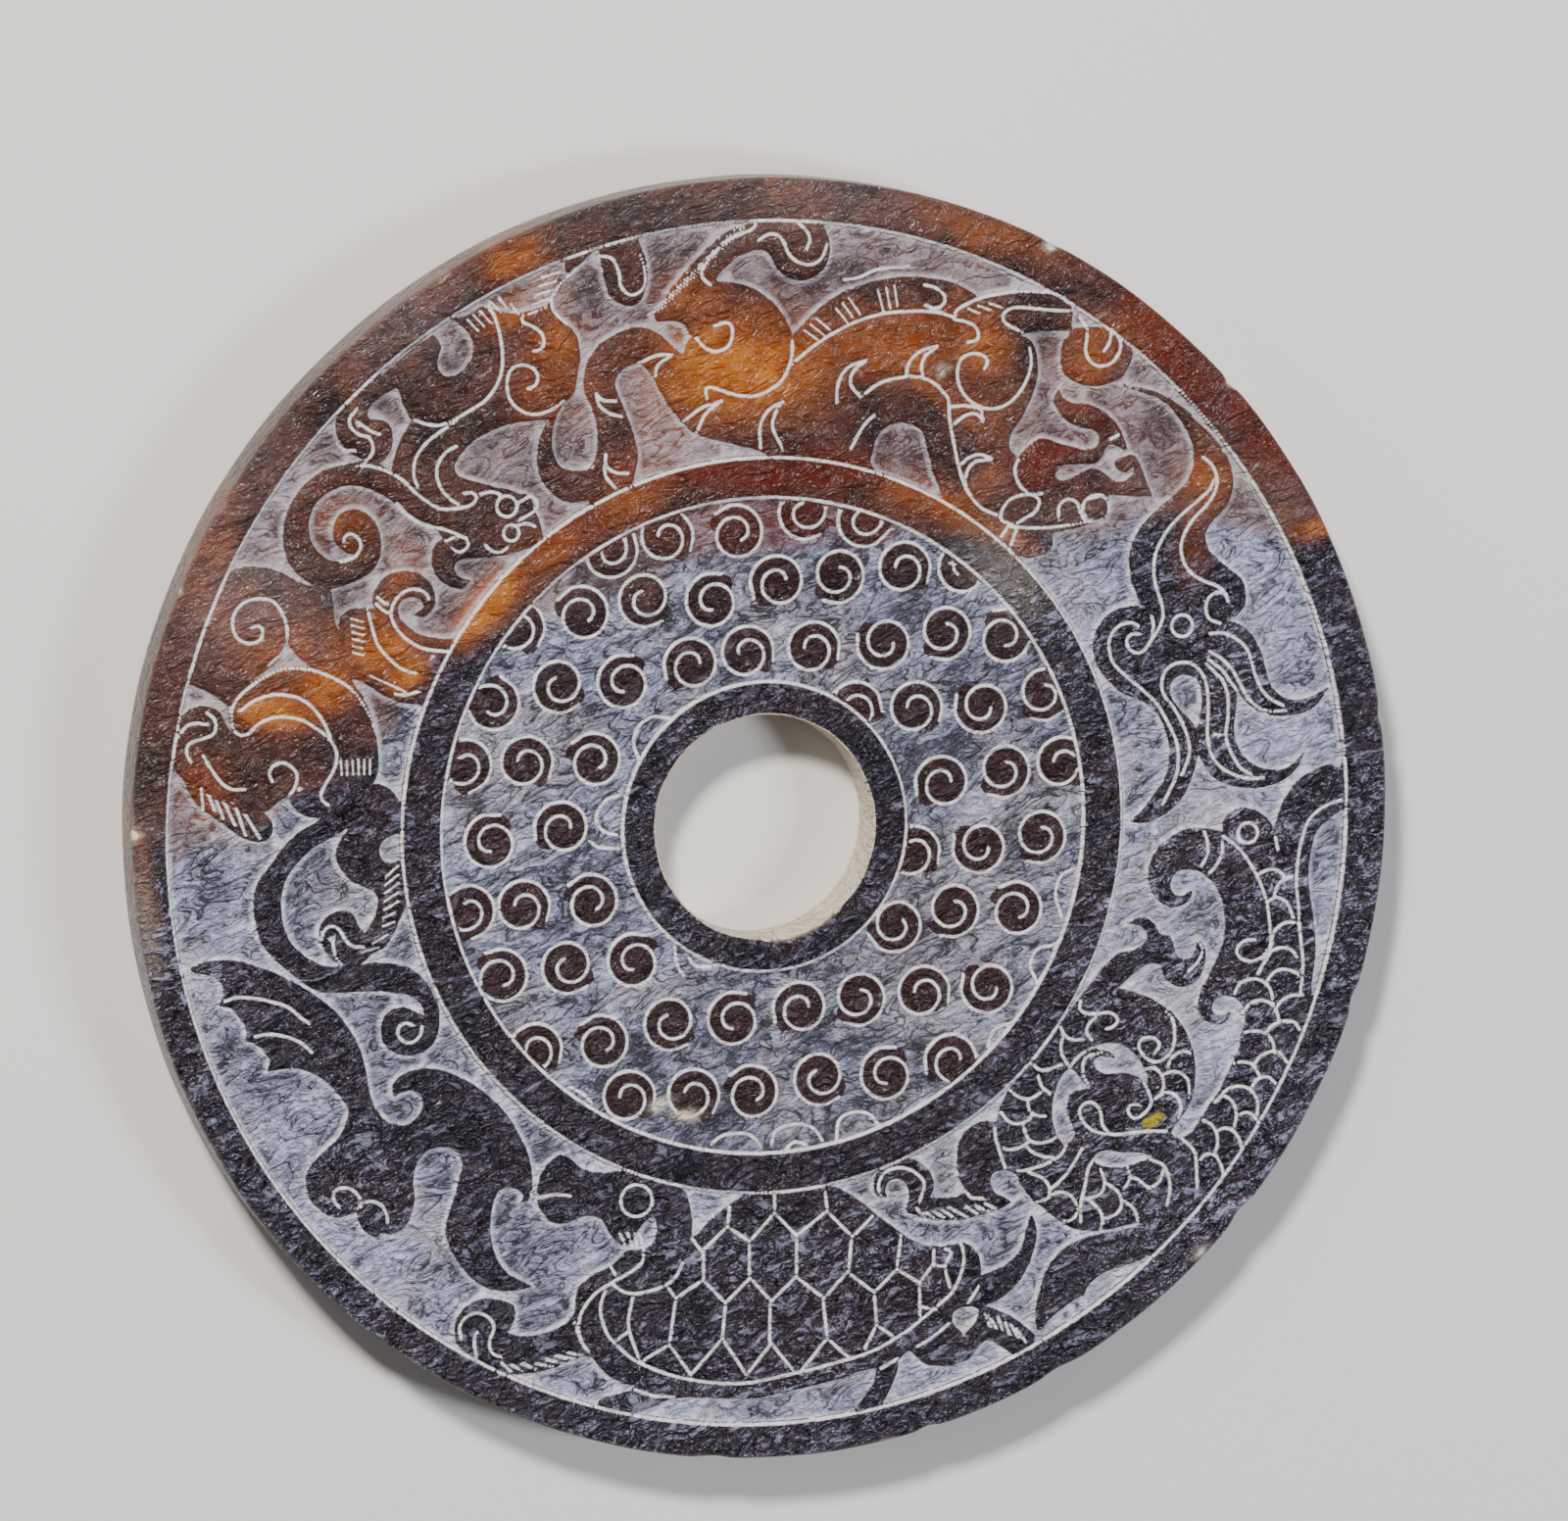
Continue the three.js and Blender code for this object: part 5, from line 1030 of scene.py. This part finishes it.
def disc_mesh(sizes):
    """The disc's vertices, its faces, and the maps that its colours follow."""
    design = Design(sizes.line_step)
    top = sizes.thickness / MM
    shift = np.array([RINGS_X, RINGS_Y])
    angles, ring = unit_ring(RIM_POINTS)
    bore_angles, bore_ring = unit_ring(BORE_POINTS)
    # The outer edge is round the middle of the outline, so it is set back into the rings' frame here.
    outer = ring * edge_radius(angles)[:, None] - shift
    bore = bore_ring * bore_edge(bore_angles)[:, None]
    face = np.vstack([outer, bore, face_points(design, sizes)])
    height, maps = carve(face, design, sizes)
    height[:len(outer) + len(bore)] -= 0.12
    shell = Shell()
    shell.add(face + shift, top + height)
    shell.faces += triangles(face)

    wobble = 0.12 * ripple(angles, 3.7, (7, 13, 29))
    foot, sound_edge = 0, OUTLINE_RADIUS - BEVEL - 0.1
    for out, drop in OUTER_WALL:
        # The face's wear and chips fade out a few millimetres down.
        radius = edge_radius(angles) * max(0, 1 - drop / 4) + sound_edge * min(1, drop / 4)
        radius = radius + out + wobble * min(1, drop) * (1 if drop < 9.5 else 0.3)
        radius = np.minimum(radius, OUTLINE_RADIUS - 0.005)
        foot = shell.wall_ring(foot, ring * radius[:, None], top - drop, True)
    bore_foot = len(outer)
    for inward, drop in BORE_WALL:
        radius = bore_edge(bore_angles) * max(0, 1 - drop / 3) + (BORE_RADIUS + 0.35) * min(1, drop / 3) - inward
        radius = radius + 0.05 * ripple(bore_angles + drop * 0.05, 5.1, (6, 14, 31))
        bore_foot = shell.wall_ring(bore_foot, bore_ring * radius[:, None] + shift, top - drop, False)

    # The back: flat and plainer, with the same rings and no beasts.
    back = back_points()
    wide = np.hypot(*(back + shift).T) < OUTLINE_RADIUS - 1.6
    back = back[wide & (np.hypot(*back.T) > BORE_RADIUS + 0.9)]
    gap = np.min([np.abs(np.hypot(*back.T) - r) for r in RINGS], axis=0)
    rise = 0.02 + 0.35 * (1 - ease(gap, CUT_FLOOR, CUT_LIP)) + 0.02 * (1 + fractal(back, 0.12, 2, 20.0)).clip(0, 2)
    back_first = shell.add(back + shift, rise.clip(0, 1))
    number = np.concatenate([foot + np.arange(len(ring)), bore_foot + np.arange(len(bore_ring)),
                             back_first + np.arange(len(back))])
    xyz = np.vstack(shell.vertices)
    for tri in triangles(xyz[number, :2] - shift, flip=True):
        shell.faces.append(tuple(int(number[i]) for i in tri))

    # The walls and the back take their colours from the same spots.
    start = len(face)
    rest = xyz[start:, :2] - shift
    plain = {"line": FAR, "ground": -FAR}
    for name in maps:
        maps[name] = np.concatenate([maps[name], np.full(len(rest), plain.get(name, 0.0))])
    for name, spots in SPOTS.items():
        maps[name][start:] = blobs(rest, spots)
    maps["warm"][start:] = warmth(rest)
    maps["line"][back_first:] = gap.clip(0, FAR)
    # Chips don't run down the wall, and the bore's wall is bare.
    maps["pale"][start:] *= xyz[start:, 2] > top - 0.7
    maps["pale"][start:][np.hypot(*rest.T) < BORE_RADIUS + 0.5] = 1.0
    return xyz * MM, shell.faces, maps


class Socket:
    """Wraps a shader socket so that plain arithmetic adds maths nodes."""

    def __init__(self, shader, socket):
        self.shader, self.socket = shader, socket

    def _join(self, operation, *others, swap=False):
        values = (self,) + others
        return self.shader.node("ShaderNodeMath", {"operation": operation}, values[::-1] if swap else values)

    def __add__(self, other):
        return self._join("ADD", other)

    def __sub__(self, other):
        return self._join("SUBTRACT", other)

    def __mul__(self, other):
        return self._join("MULTIPLY", other)

    def __rsub__(self, other):
        return self._join("SUBTRACT", other, swap=True)

    __radd__ = __add__
    __rmul__ = __mul__

    def size(self):
        """The value without its sign."""
        return self._join("ABSOLUTE")

    def largest(self, other):
        return self._join("MAXIMUM", other)

    def step(self, low, high, start=0.0, end=1.0):
        """A smooth rise from start, at low, to end, at high."""
        settings = {"interpolation_type": "SMOOTHSTEP"}
        return self.shader.node("ShaderNodeMapRange", settings, (self, low, high, start, end))


class Shader:
    """A material and the few calls that add its nodes."""

    def __init__(self, name):
        self.material = bpy.data.materials.new(name)
        self.material.use_nodes = True
        self.tree = self.material.node_tree
        self.tree.nodes.clear()

    def node(self, kind, settings=None, inputs=(), output=0):
        made = self.tree.nodes.new(kind)
        for key, value in (settings or {}).items():
            setattr(made, key, value)
        pairs_of_inputs = inputs.items() if isinstance(inputs, dict) else enumerate(inputs)
        for key, value in pairs_of_inputs:
            if isinstance(value, Socket):
                self.tree.links.new(value.socket, made.inputs[key])
            else:
                made.inputs[key].default_value = value
        return Socket(self, made.outputs[output]) if made.outputs else None

    def attribute(self, name):
        return self.node("ShaderNodeAttribute", {"attribute_name": name}, output="Fac")

    def mix(self, factor, a, b):
        settings = {"data_type": "RGBA", "clamp_factor": True}
        return self.node("ShaderNodeMix", settings, {0: factor, 6: a, 7: b}, output=2)

    def place(self, scale, turn=0.0):
        """Object coordinates turned and then squeezed, so that a noise runs long across the squeeze."""
        where = self.node("ShaderNodeTexCoord", output="Object")
        turned = self.node("ShaderNodeMapping", {}, {"Vector": where, "Rotation": (0, 0, turn)})
        return self.node("ShaderNodeMapping", {}, {"Vector": turned, "Scale": scale})

    def noise(self, vector, scale, detail=4.0, rough=0.55, distortion=0.0):
        inputs = {"Vector": vector, "Scale": scale, "Detail": detail, "Roughness": rough, "Distortion": distortion}
        return self.node("ShaderNodeTexNoise", {}, inputs)

    def ridges(self, vector, scale, detail, rough, distortion, gain):
        """Noise folded at its middle: 0 along thin winding lines, and rising away from them."""
        return (self.noise(vector, scale, detail, rough, distortion) - 0.5).size() * gain

    def surface(self, inputs):
        """Ends the material with a principled shader, and returns the material."""
        shader = self.node("ShaderNodeBsdfPrincipled", {}, inputs)
        self.node("ShaderNodeOutputMaterial", {}, {"Surface": shader})
        return self.material


def jade_material(look):
    """The stone with its crumpled skin, painted shade in its creases and painted highlights on its crests, the silt
    on the ground and the white deposit in the lines.
    """
    s = Shader("jade")
    plain = s.place((1, 1, 1))
    slant = s.place((1.0, 2.1, 1.0), math.radians(-26))
    level = s.place((1.0, 1.5, 1.0), math.radians(-8))
    line, ground, band = s.attribute("line"), s.attribute("ground"), s.attribute("band")
    warm, amber, red = s.attribute("warm"), s.attribute("amber"), s.attribute("red")
    pale, ochre, worn = s.attribute("pale"), s.attribute("ochre"), s.attribute("worn")
    cloud = s.noise(plain, 45, 5, 0.6, 0.6)
    patch = s.noise(plain, 140, 5, 0.62, 0.4)
    fine = s.noise(plain, 900, 4, 0.6)
    grit = s.noise(plain, 2400, 3, 0.6)
    # How brown the stone is, with a ragged border.
    heat = (warm + (cloud - 0.5) * 0.5).step(0.2, 0.8)
    # The amber and red places are smooth, so they get little painted crease shade and few painted highlights.
    calm = 1.0 - amber.largest(red * 1.05) * 0.93

    # Crumpled surface: pillows between sharp creases, coarse and fine.
    coarse = s.ridges(slant, 150, 4, 0.5, 1.1, 9.0)
    small = s.ridges(level, 430, 3, 0.55, 0.9, 8.0)
    wide = 1.0 - coarse.step(0.05, 0.36)
    crease_lines = wide.largest((1.0 - small.step(0.03, 0.24)) * 0.70)
    crease = crease_lines * (1.0 - heat * 0.78) * calm
    # Painted highlights: thin bright glint streaks and lighter pillow crests, brightest where the worn map is high.
    threads = s.ridges(slant, 400, 3, 0.55, 0.9, 8.0)
    glint = (1.0 - threads.step(0.03, 0.32)) * grit.step(0.44, 0.58) * coarse.step(0.15, 0.75, 0.35, 1.0)
    crest_highlight = (coarse * 0.45 + small * 0.55).step(0.62, 1.20) * 0.5
    crest_highlight = crest_highlight.largest(glint * (0.80 + worn * 0.70) * (1.0 - heat * 0.55))

    # The stone, from purple-black to brown, amber and red.
    cold = s.mix(patch.step(0.36, 0.62), look["cold_dark"], look["cold_light"])
    cold = s.mix(cloud.step(0.50, 0.62) * 0.6, cold, look["cold_red"])
    hot = s.mix(patch.step(0.36, 0.62), look["warm_dark"], look["warm_light"])
    hot = s.mix(cloud.step(0.54, 0.68) * 0.35, hot, look["amber"])
    stone = s.mix(heat, cold, hot)
    stone = s.mix(amber * patch.step(0.28, 0.52, 0.6, 1.0), stone, look["amber"])
    stone = s.mix((amber - 0.35) * patch.step(0.42, 0.60) * 0.8, stone, look["honey"])
    stone = s.mix(red * patch.step(0.32, 0.55, 0.5, 1.0), stone, look["red"])
    # A thin worn bloom veils the stone, and painted highlights brighten the crests and glints, more on the dark
    # stone than on the brown.
    veil = (fine * 0.5 + cloud).step(0.55, 0.95, 0.50, 1.0) * (0.55 + worn * 0.50)
    bloom = (crest_highlight * (0.95 - heat * 0.84) + 0.04 + heat * (0.02 + worn * 0.16)) * veil * calm
    stone = s.mix(bloom, stone, s.mix(heat, look["bloom"], look["bloom_warm"]))
    # Painted shade: the creases of the crumpled skin are darkened nearly to black.
    stone = s.mix(crease * 0.92, stone, look["crease"])
    # The grains are rubbed clean, so their stone looks redder.
    deep = (ground + (fine - 0.5) * 0.45).step(-0.02, 0.26)
    stone = s.mix(band * (1.0 - deep) * crease_lines.step(0.2, 0.8, 0.75, 0.25), stone, look["grain"])

    # The silt on the sunk ground: uneven, and thickest at the foot of the figures' edges.
    foot = deep * (1.0 - ground.step(0.25, 1.35)) * (1.0 - band) * patch.step(0.30, 0.55, 0.55, 1.0)
    silt_and_shade = 0.50 + (cloud - 0.5) * 1.0 + (patch - 0.5) * 1.25 + (worn - 0.5) * 0.26 - heat * 0.06 - amber * 0.2
    # The film is thinner in the creases and thicker on the crests, which paints shade into the creases and
    # highlights on the crests.
    silt_and_shade = silt_and_shade - band * 0.10 - wide.largest(crease_lines * 0.45) * 0.40 + crest_highlight * 0.24
    film = deep * (silt_and_shade.step(0.0, 0.90, 0.06, 0.97)).largest(foot * 0.9)
    silt = s.mix(fine.step(0.30, 0.70), look["silt_dark"], look["silt"])
    silt = s.mix((cloud.step(0.50, 0.60) * 0.45).largest(ochre * 1.6), silt, look["silt_tan"])
    silt = s.mix(heat * 0.8, silt, look["silt_warm"])
    colour = s.mix(film, stone, silt)
    colour = s.mix(foot * foot * fine.step(0.25, 0.60, 0.3, 1.0) * (0.66 - heat * 0.46), colour, look["white"])

    # The white deposit in the cut lines, the bare chips and the ochre spot.
    ragged = line + (fine - 0.5) * 0.30
    stroke = (1.0 - ragged.step(0.12, 0.34)) * patch.step(0.20, 0.36, 0.45, 1.0) * (1.0 - heat * 0.22)
    colour = s.mix(stroke * grit.step(0.25, 0.5, 0.75, 1.0), colour, look["white"])
    bare = (pale + (fine - 0.5) * 0.5).step(0.30, 0.58).largest(pale * 0.8)
    colour = s.mix(bare, colour, look["pale"])
    colour = s.mix((ochre + (fine - 0.5) * 0.5).step(0.45, 0.70), colour, look["ochre"])

    dusty = stroke.largest(film * 0.7).largest(bare)
    rough = 0.21 + dusty * 0.42 + (fine - 0.5) * 0.2
    bump_height = (coarse * 0.6 + small * 0.4).step(0.0, 1.5) * (0.90 - heat * 0.50) + fine * 0.10
    bump = s.node("ShaderNodeBump", {}, {"Strength": look["bump"], "Distance": 0.0015, "Height": bump_height})
    return s.surface({"Base Color": colour, "Roughness": rough, "Normal": bump, "IOR": 1.5,
                      "Specular IOR Level": look["specular"]})


def colour_of(prop):
    """A colour property as a socket's value, with its alpha."""
    return tuple(prop) + (1.0,)


def size_property(name, description, default):
    return bpy.props.FloatProperty(name=name, description=description, default=default, unit="LENGTH", precision=5)


def spacing_property(name, description, default):
    return bpy.props.FloatProperty(name=name, description=description, default=default, min=0.2, max=5.0)


def share_property(name, description, default, most):
    return bpy.props.FloatProperty(name=name, description=description, default=default, min=0.0, max=most,
                                   subtype="FACTOR")


def colour_property(name, description, default):
    return bpy.props.FloatVectorProperty(name=name, description=description, default=default, subtype="COLOR",
                                         size=3, min=0.0, max=1.0)


class BiDiscSizes(bpy.types.PropertyGroup):
    thickness: size_property("Thickness", "From the flat back to the rim's face", THICKNESS * MM)
    ground: size_property("Ground depth", "How far the ground lies under the beasts", 0.85 * MM)
    band: size_property("Band depth", "How far the grain band lies under the rings", 0.7 * MM)
    cut: size_property("Line depth", "Depth of the cut lines", 0.32 * MM)
    line_step: spacing_property("Line step", "Point spacing along lines, in mm", 0.62)
    fill_step: spacing_property("Fill step", "Point spacing between lines, in mm", 1.25)

    @property
    def ground_depth(self):
        return self.ground / MM

    @property
    def band_depth(self):
        return self.band / MM

    @property
    def line_depth(self):
        return self.cut / MM


class BiDiscLook(bpy.types.PropertyGroup):
    cold_dark: colour_property("Dark stone", "Darkest of the purple stone", (0.006, 0.003, 0.005))
    cold_light: colour_property("Light stone", "Lighter veins of the purple stone", (0.030, 0.019, 0.028))
    cold_red: colour_property("Reddish dark stone", "Reddish patches of the dark stone", (0.026, 0.005, 0.006))
    # Painted shade for the creases of the crumpled skin.
    crease: colour_property("Creases", "Creases of the crumpled surface", (0.002, 0.001, 0.002))
    # The bloom colours are a worn film together with painted highlights on the crests and glints.
    bloom: colour_property("Bloom", "Worn bloom on the crests", (0.38, 0.39, 0.57))
    bloom_warm: colour_property("Warm bloom", "Worn bloom on the brown stone", (0.34, 0.25, 0.25))
    grain: colour_property("Grain stone", "Clean stone of the raised grains", (0.040, 0.013, 0.012))
    warm_dark: colour_property("Brown stone", "Darkest of the brown stone", (0.014, 0.004, 0.0035))
    warm_light: colour_property("Light brown stone", "Lighter brown stone", (0.062, 0.020, 0.014))
    amber: colour_property("Amber stone", "Where light jade shows through", (0.30, 0.068, 0.004))
    honey: colour_property("Honey stone", "The lightest jade", (0.43, 0.18, 0.025))
    red: colour_property("Red stone", "Deep red stained places", (0.085, 0.008, 0.0015))
    silt: colour_property("Silt", "Deposit on the sunk ground", (0.56, 0.58, 0.84))
    silt_dark: colour_property("Dark silt", "Thin deposit on the sunk ground", (0.33, 0.34, 0.52))
    silt_warm: colour_property("Warm silt", "Deposit on the brown stone", (0.33, 0.25, 0.25))
    silt_tan: colour_property("Tan silt", "Beige places in the deposit", (0.47, 0.42, 0.37))
    white: colour_property("Line deposit", "White deposit in the cut lines", (0.84, 0.83, 0.85))
    pale: colour_property("Pale stone", "Chips and the bore's bare wall", (0.62, 0.54, 0.44))
    ochre: colour_property("Ochre spot", "One ochre spot on the lower right", (0.32, 0.25, 0.02))
    bump: share_property("Crumple", "Strength of the fine crumpled surface", 0.8, 2.0)
    specular: share_property("Sheen", "Strength of the polish's reflection", 0.32, 1.0)


class BiDiscStage(bpy.types.PropertyGroup):
    floor: colour_property("Floor", "Colour of the plain floor", (0.72, 0.70, 0.67))
    width: size_property("Floor width", "Width of the floor", 6.0)


class BIDISC_OT_disc(bpy.types.Operator):
    """Make the carved jade disc"""
    bl_idname = "bi_disc.disc"
    bl_label = "Jade disc"

    def execute(self, context):
        sizes, look = context.scene.bi_disc_sizes, context.scene.bi_disc_look
        xyz, faces, maps = disc_mesh(sizes)
        mesh = bpy.data.meshes.new("carved_jade_disc")
        mesh.from_pydata([tuple(p) for p in xyz], [], faces)
        if mesh.validate():
            raise RuntimeError("the disc's mesh has faces that had to be mended")
        for name, values in maps.items():
            layer = mesh.attributes.new(name, "FLOAT", "POINT")
            layer.data.foreach_set("value", values.astype(np.float32))
        mesh.shade_smooth()
        disc = bpy.data.objects.new("carved_jade_disc", mesh)
        context.scene.collection.objects.link(disc)
        values = {}
        for key in look.__annotations__:
            value = getattr(look, key)
            values[key] = value if isinstance(value, float) else colour_of(value)
        mesh.materials.append(jade_material(values))
        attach(disc, "root")
        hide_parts("bi_disc")
        return {"FINISHED"}


def area_light(scene, name, place, size, power, colour, target):
    """A soft rectangular light, turned to its target."""
    data = bpy.data.lights.new(name, "AREA")
    data.shape = "RECTANGLE"
    data.size, data.size_y = size
    data.energy = power
    data.color = colour
    lamp = bpy.data.objects.new(name, data)
    lamp.location = place
    lamp.rotation_euler = (Vector(target) - Vector(place)).to_track_quat("-Z", "Y").to_euler()
    scene.collection.objects.link(lamp)


def add_floor(scene, stage):
    """The plain pale floor that the disc lies on."""
    half = stage.width / 2
    mesh = bpy.data.meshes.new("floor")
    mesh.from_pydata([(-half, -half, 0), (half, -half, 0), (half, half, 0), (-half, half, 0)], [], [(0, 1, 2, 3)])
    floor = bpy.data.objects.new("floor", mesh)
    scene.collection.objects.link(floor)
    surface = {"Base Color": colour_of(stage.floor), "Roughness": 0.9, "Specular IOR Level": 0.2}
    mesh.materials.append(Shader("floor").surface(surface))


def add_room(scene):
    """A dim even light from all round."""
    world = bpy.data.worlds.new("soft_room")
    world.use_nodes = True
    background = world.node_tree.nodes["Background"]
    background.inputs["Color"].default_value = ROOM_COLOUR
    background.inputs["Strength"].default_value = ROOM_STRENGTH
    scene.world = world


def add_camera(scene):
    """The camera at the photograph's angle, with the rings' middle where the photograph has it."""
    centre = Vector((RINGS_X * MM, RINGS_Y * MM, THICKNESS * MM))
    toward = Vector(CAMERA_WAY).normalized()
    up = (Vector((0, 1, 0)) - toward * toward.y).normalized()
    right = up.cross(toward)
    eye = centre + toward * CAMERA_DISTANCE
    aim = centre + right * (AIM_RIGHT / PIXELS_PER_METRE) + up * (AIM_UP / PIXELS_PER_METRE)
    ahead = (aim - eye).normalized()
    side = ahead.cross(up).normalized()
    top = side.cross(ahead)
    data = bpy.data.cameras.new("camera")
    data.sensor_width = SENSOR_WIDTH
    data.lens = CAMERA_LENS
    data.clip_end = 50
    camera = bpy.data.objects.new("camera", data)
    camera.matrix_world = Matrix.Translation(eye) @ Matrix((side, top, -ahead)).transposed().to_4x4()
    scene.collection.objects.link(camera)
    scene.camera = camera


class BIDISC_OT_stage(bpy.types.Operator):
    """Make the floor, the lights and the camera"""
    bl_idname = "bi_disc.stage"
    bl_label = "Floor, lights and camera"

    def execute(self, context):
        scene = context.scene
        add_floor(scene, scene.bi_disc_stage)
        add_room(scene)
        for light in LIGHTS:
            area_light(scene, *light, target=(0, 0, THICKNESS * MM))
        add_camera(scene)
        return {"FINISHED"}


class BIDISC_PT_panel(bpy.types.Panel):
    bl_label = "Jade bi disc"
    bl_idname = "BIDISC_PT_panel"
    bl_space_type = "VIEW_3D"
    bl_region_type = "UI"
    bl_category = "Bi disc"

    def draw(self, context):
        scene, layout = context.scene, self.layout
        for group, operator in ((scene.bi_disc_sizes, BIDISC_OT_disc), (scene.bi_disc_look, None),
                                (scene.bi_disc_stage, BIDISC_OT_stage)):
            box = layout.box()
            for key in group.__annotations__:
                box.prop(group, key)
            if operator:
                box.operator(operator.bl_idname)


CLASSES = (BiDiscSizes, BiDiscLook, BiDiscStage, BIDISC_OT_disc, BIDISC_OT_stage, BIDISC_PT_panel)


def register():
    for cls in CLASSES:
        bpy.utils.register_class(cls)
    bpy.types.Scene.bi_disc_sizes = bpy.props.PointerProperty(type=BiDiscSizes)
    bpy.types.Scene.bi_disc_look = bpy.props.PointerProperty(type=BiDiscLook)
    bpy.types.Scene.bi_disc_stage = bpy.props.PointerProperty(type=BiDiscStage)


def unregister():
    del bpy.types.Scene.bi_disc_stage
    del bpy.types.Scene.bi_disc_look
    del bpy.types.Scene.bi_disc_sizes
    for cls in reversed(CLASSES):
        bpy.utils.unregister_class(cls)


def main():
    register()
    bpy.ops.bi_disc.disc()
    bpy.ops.bi_disc.stage()


if __name__ == "__main__":
    main()
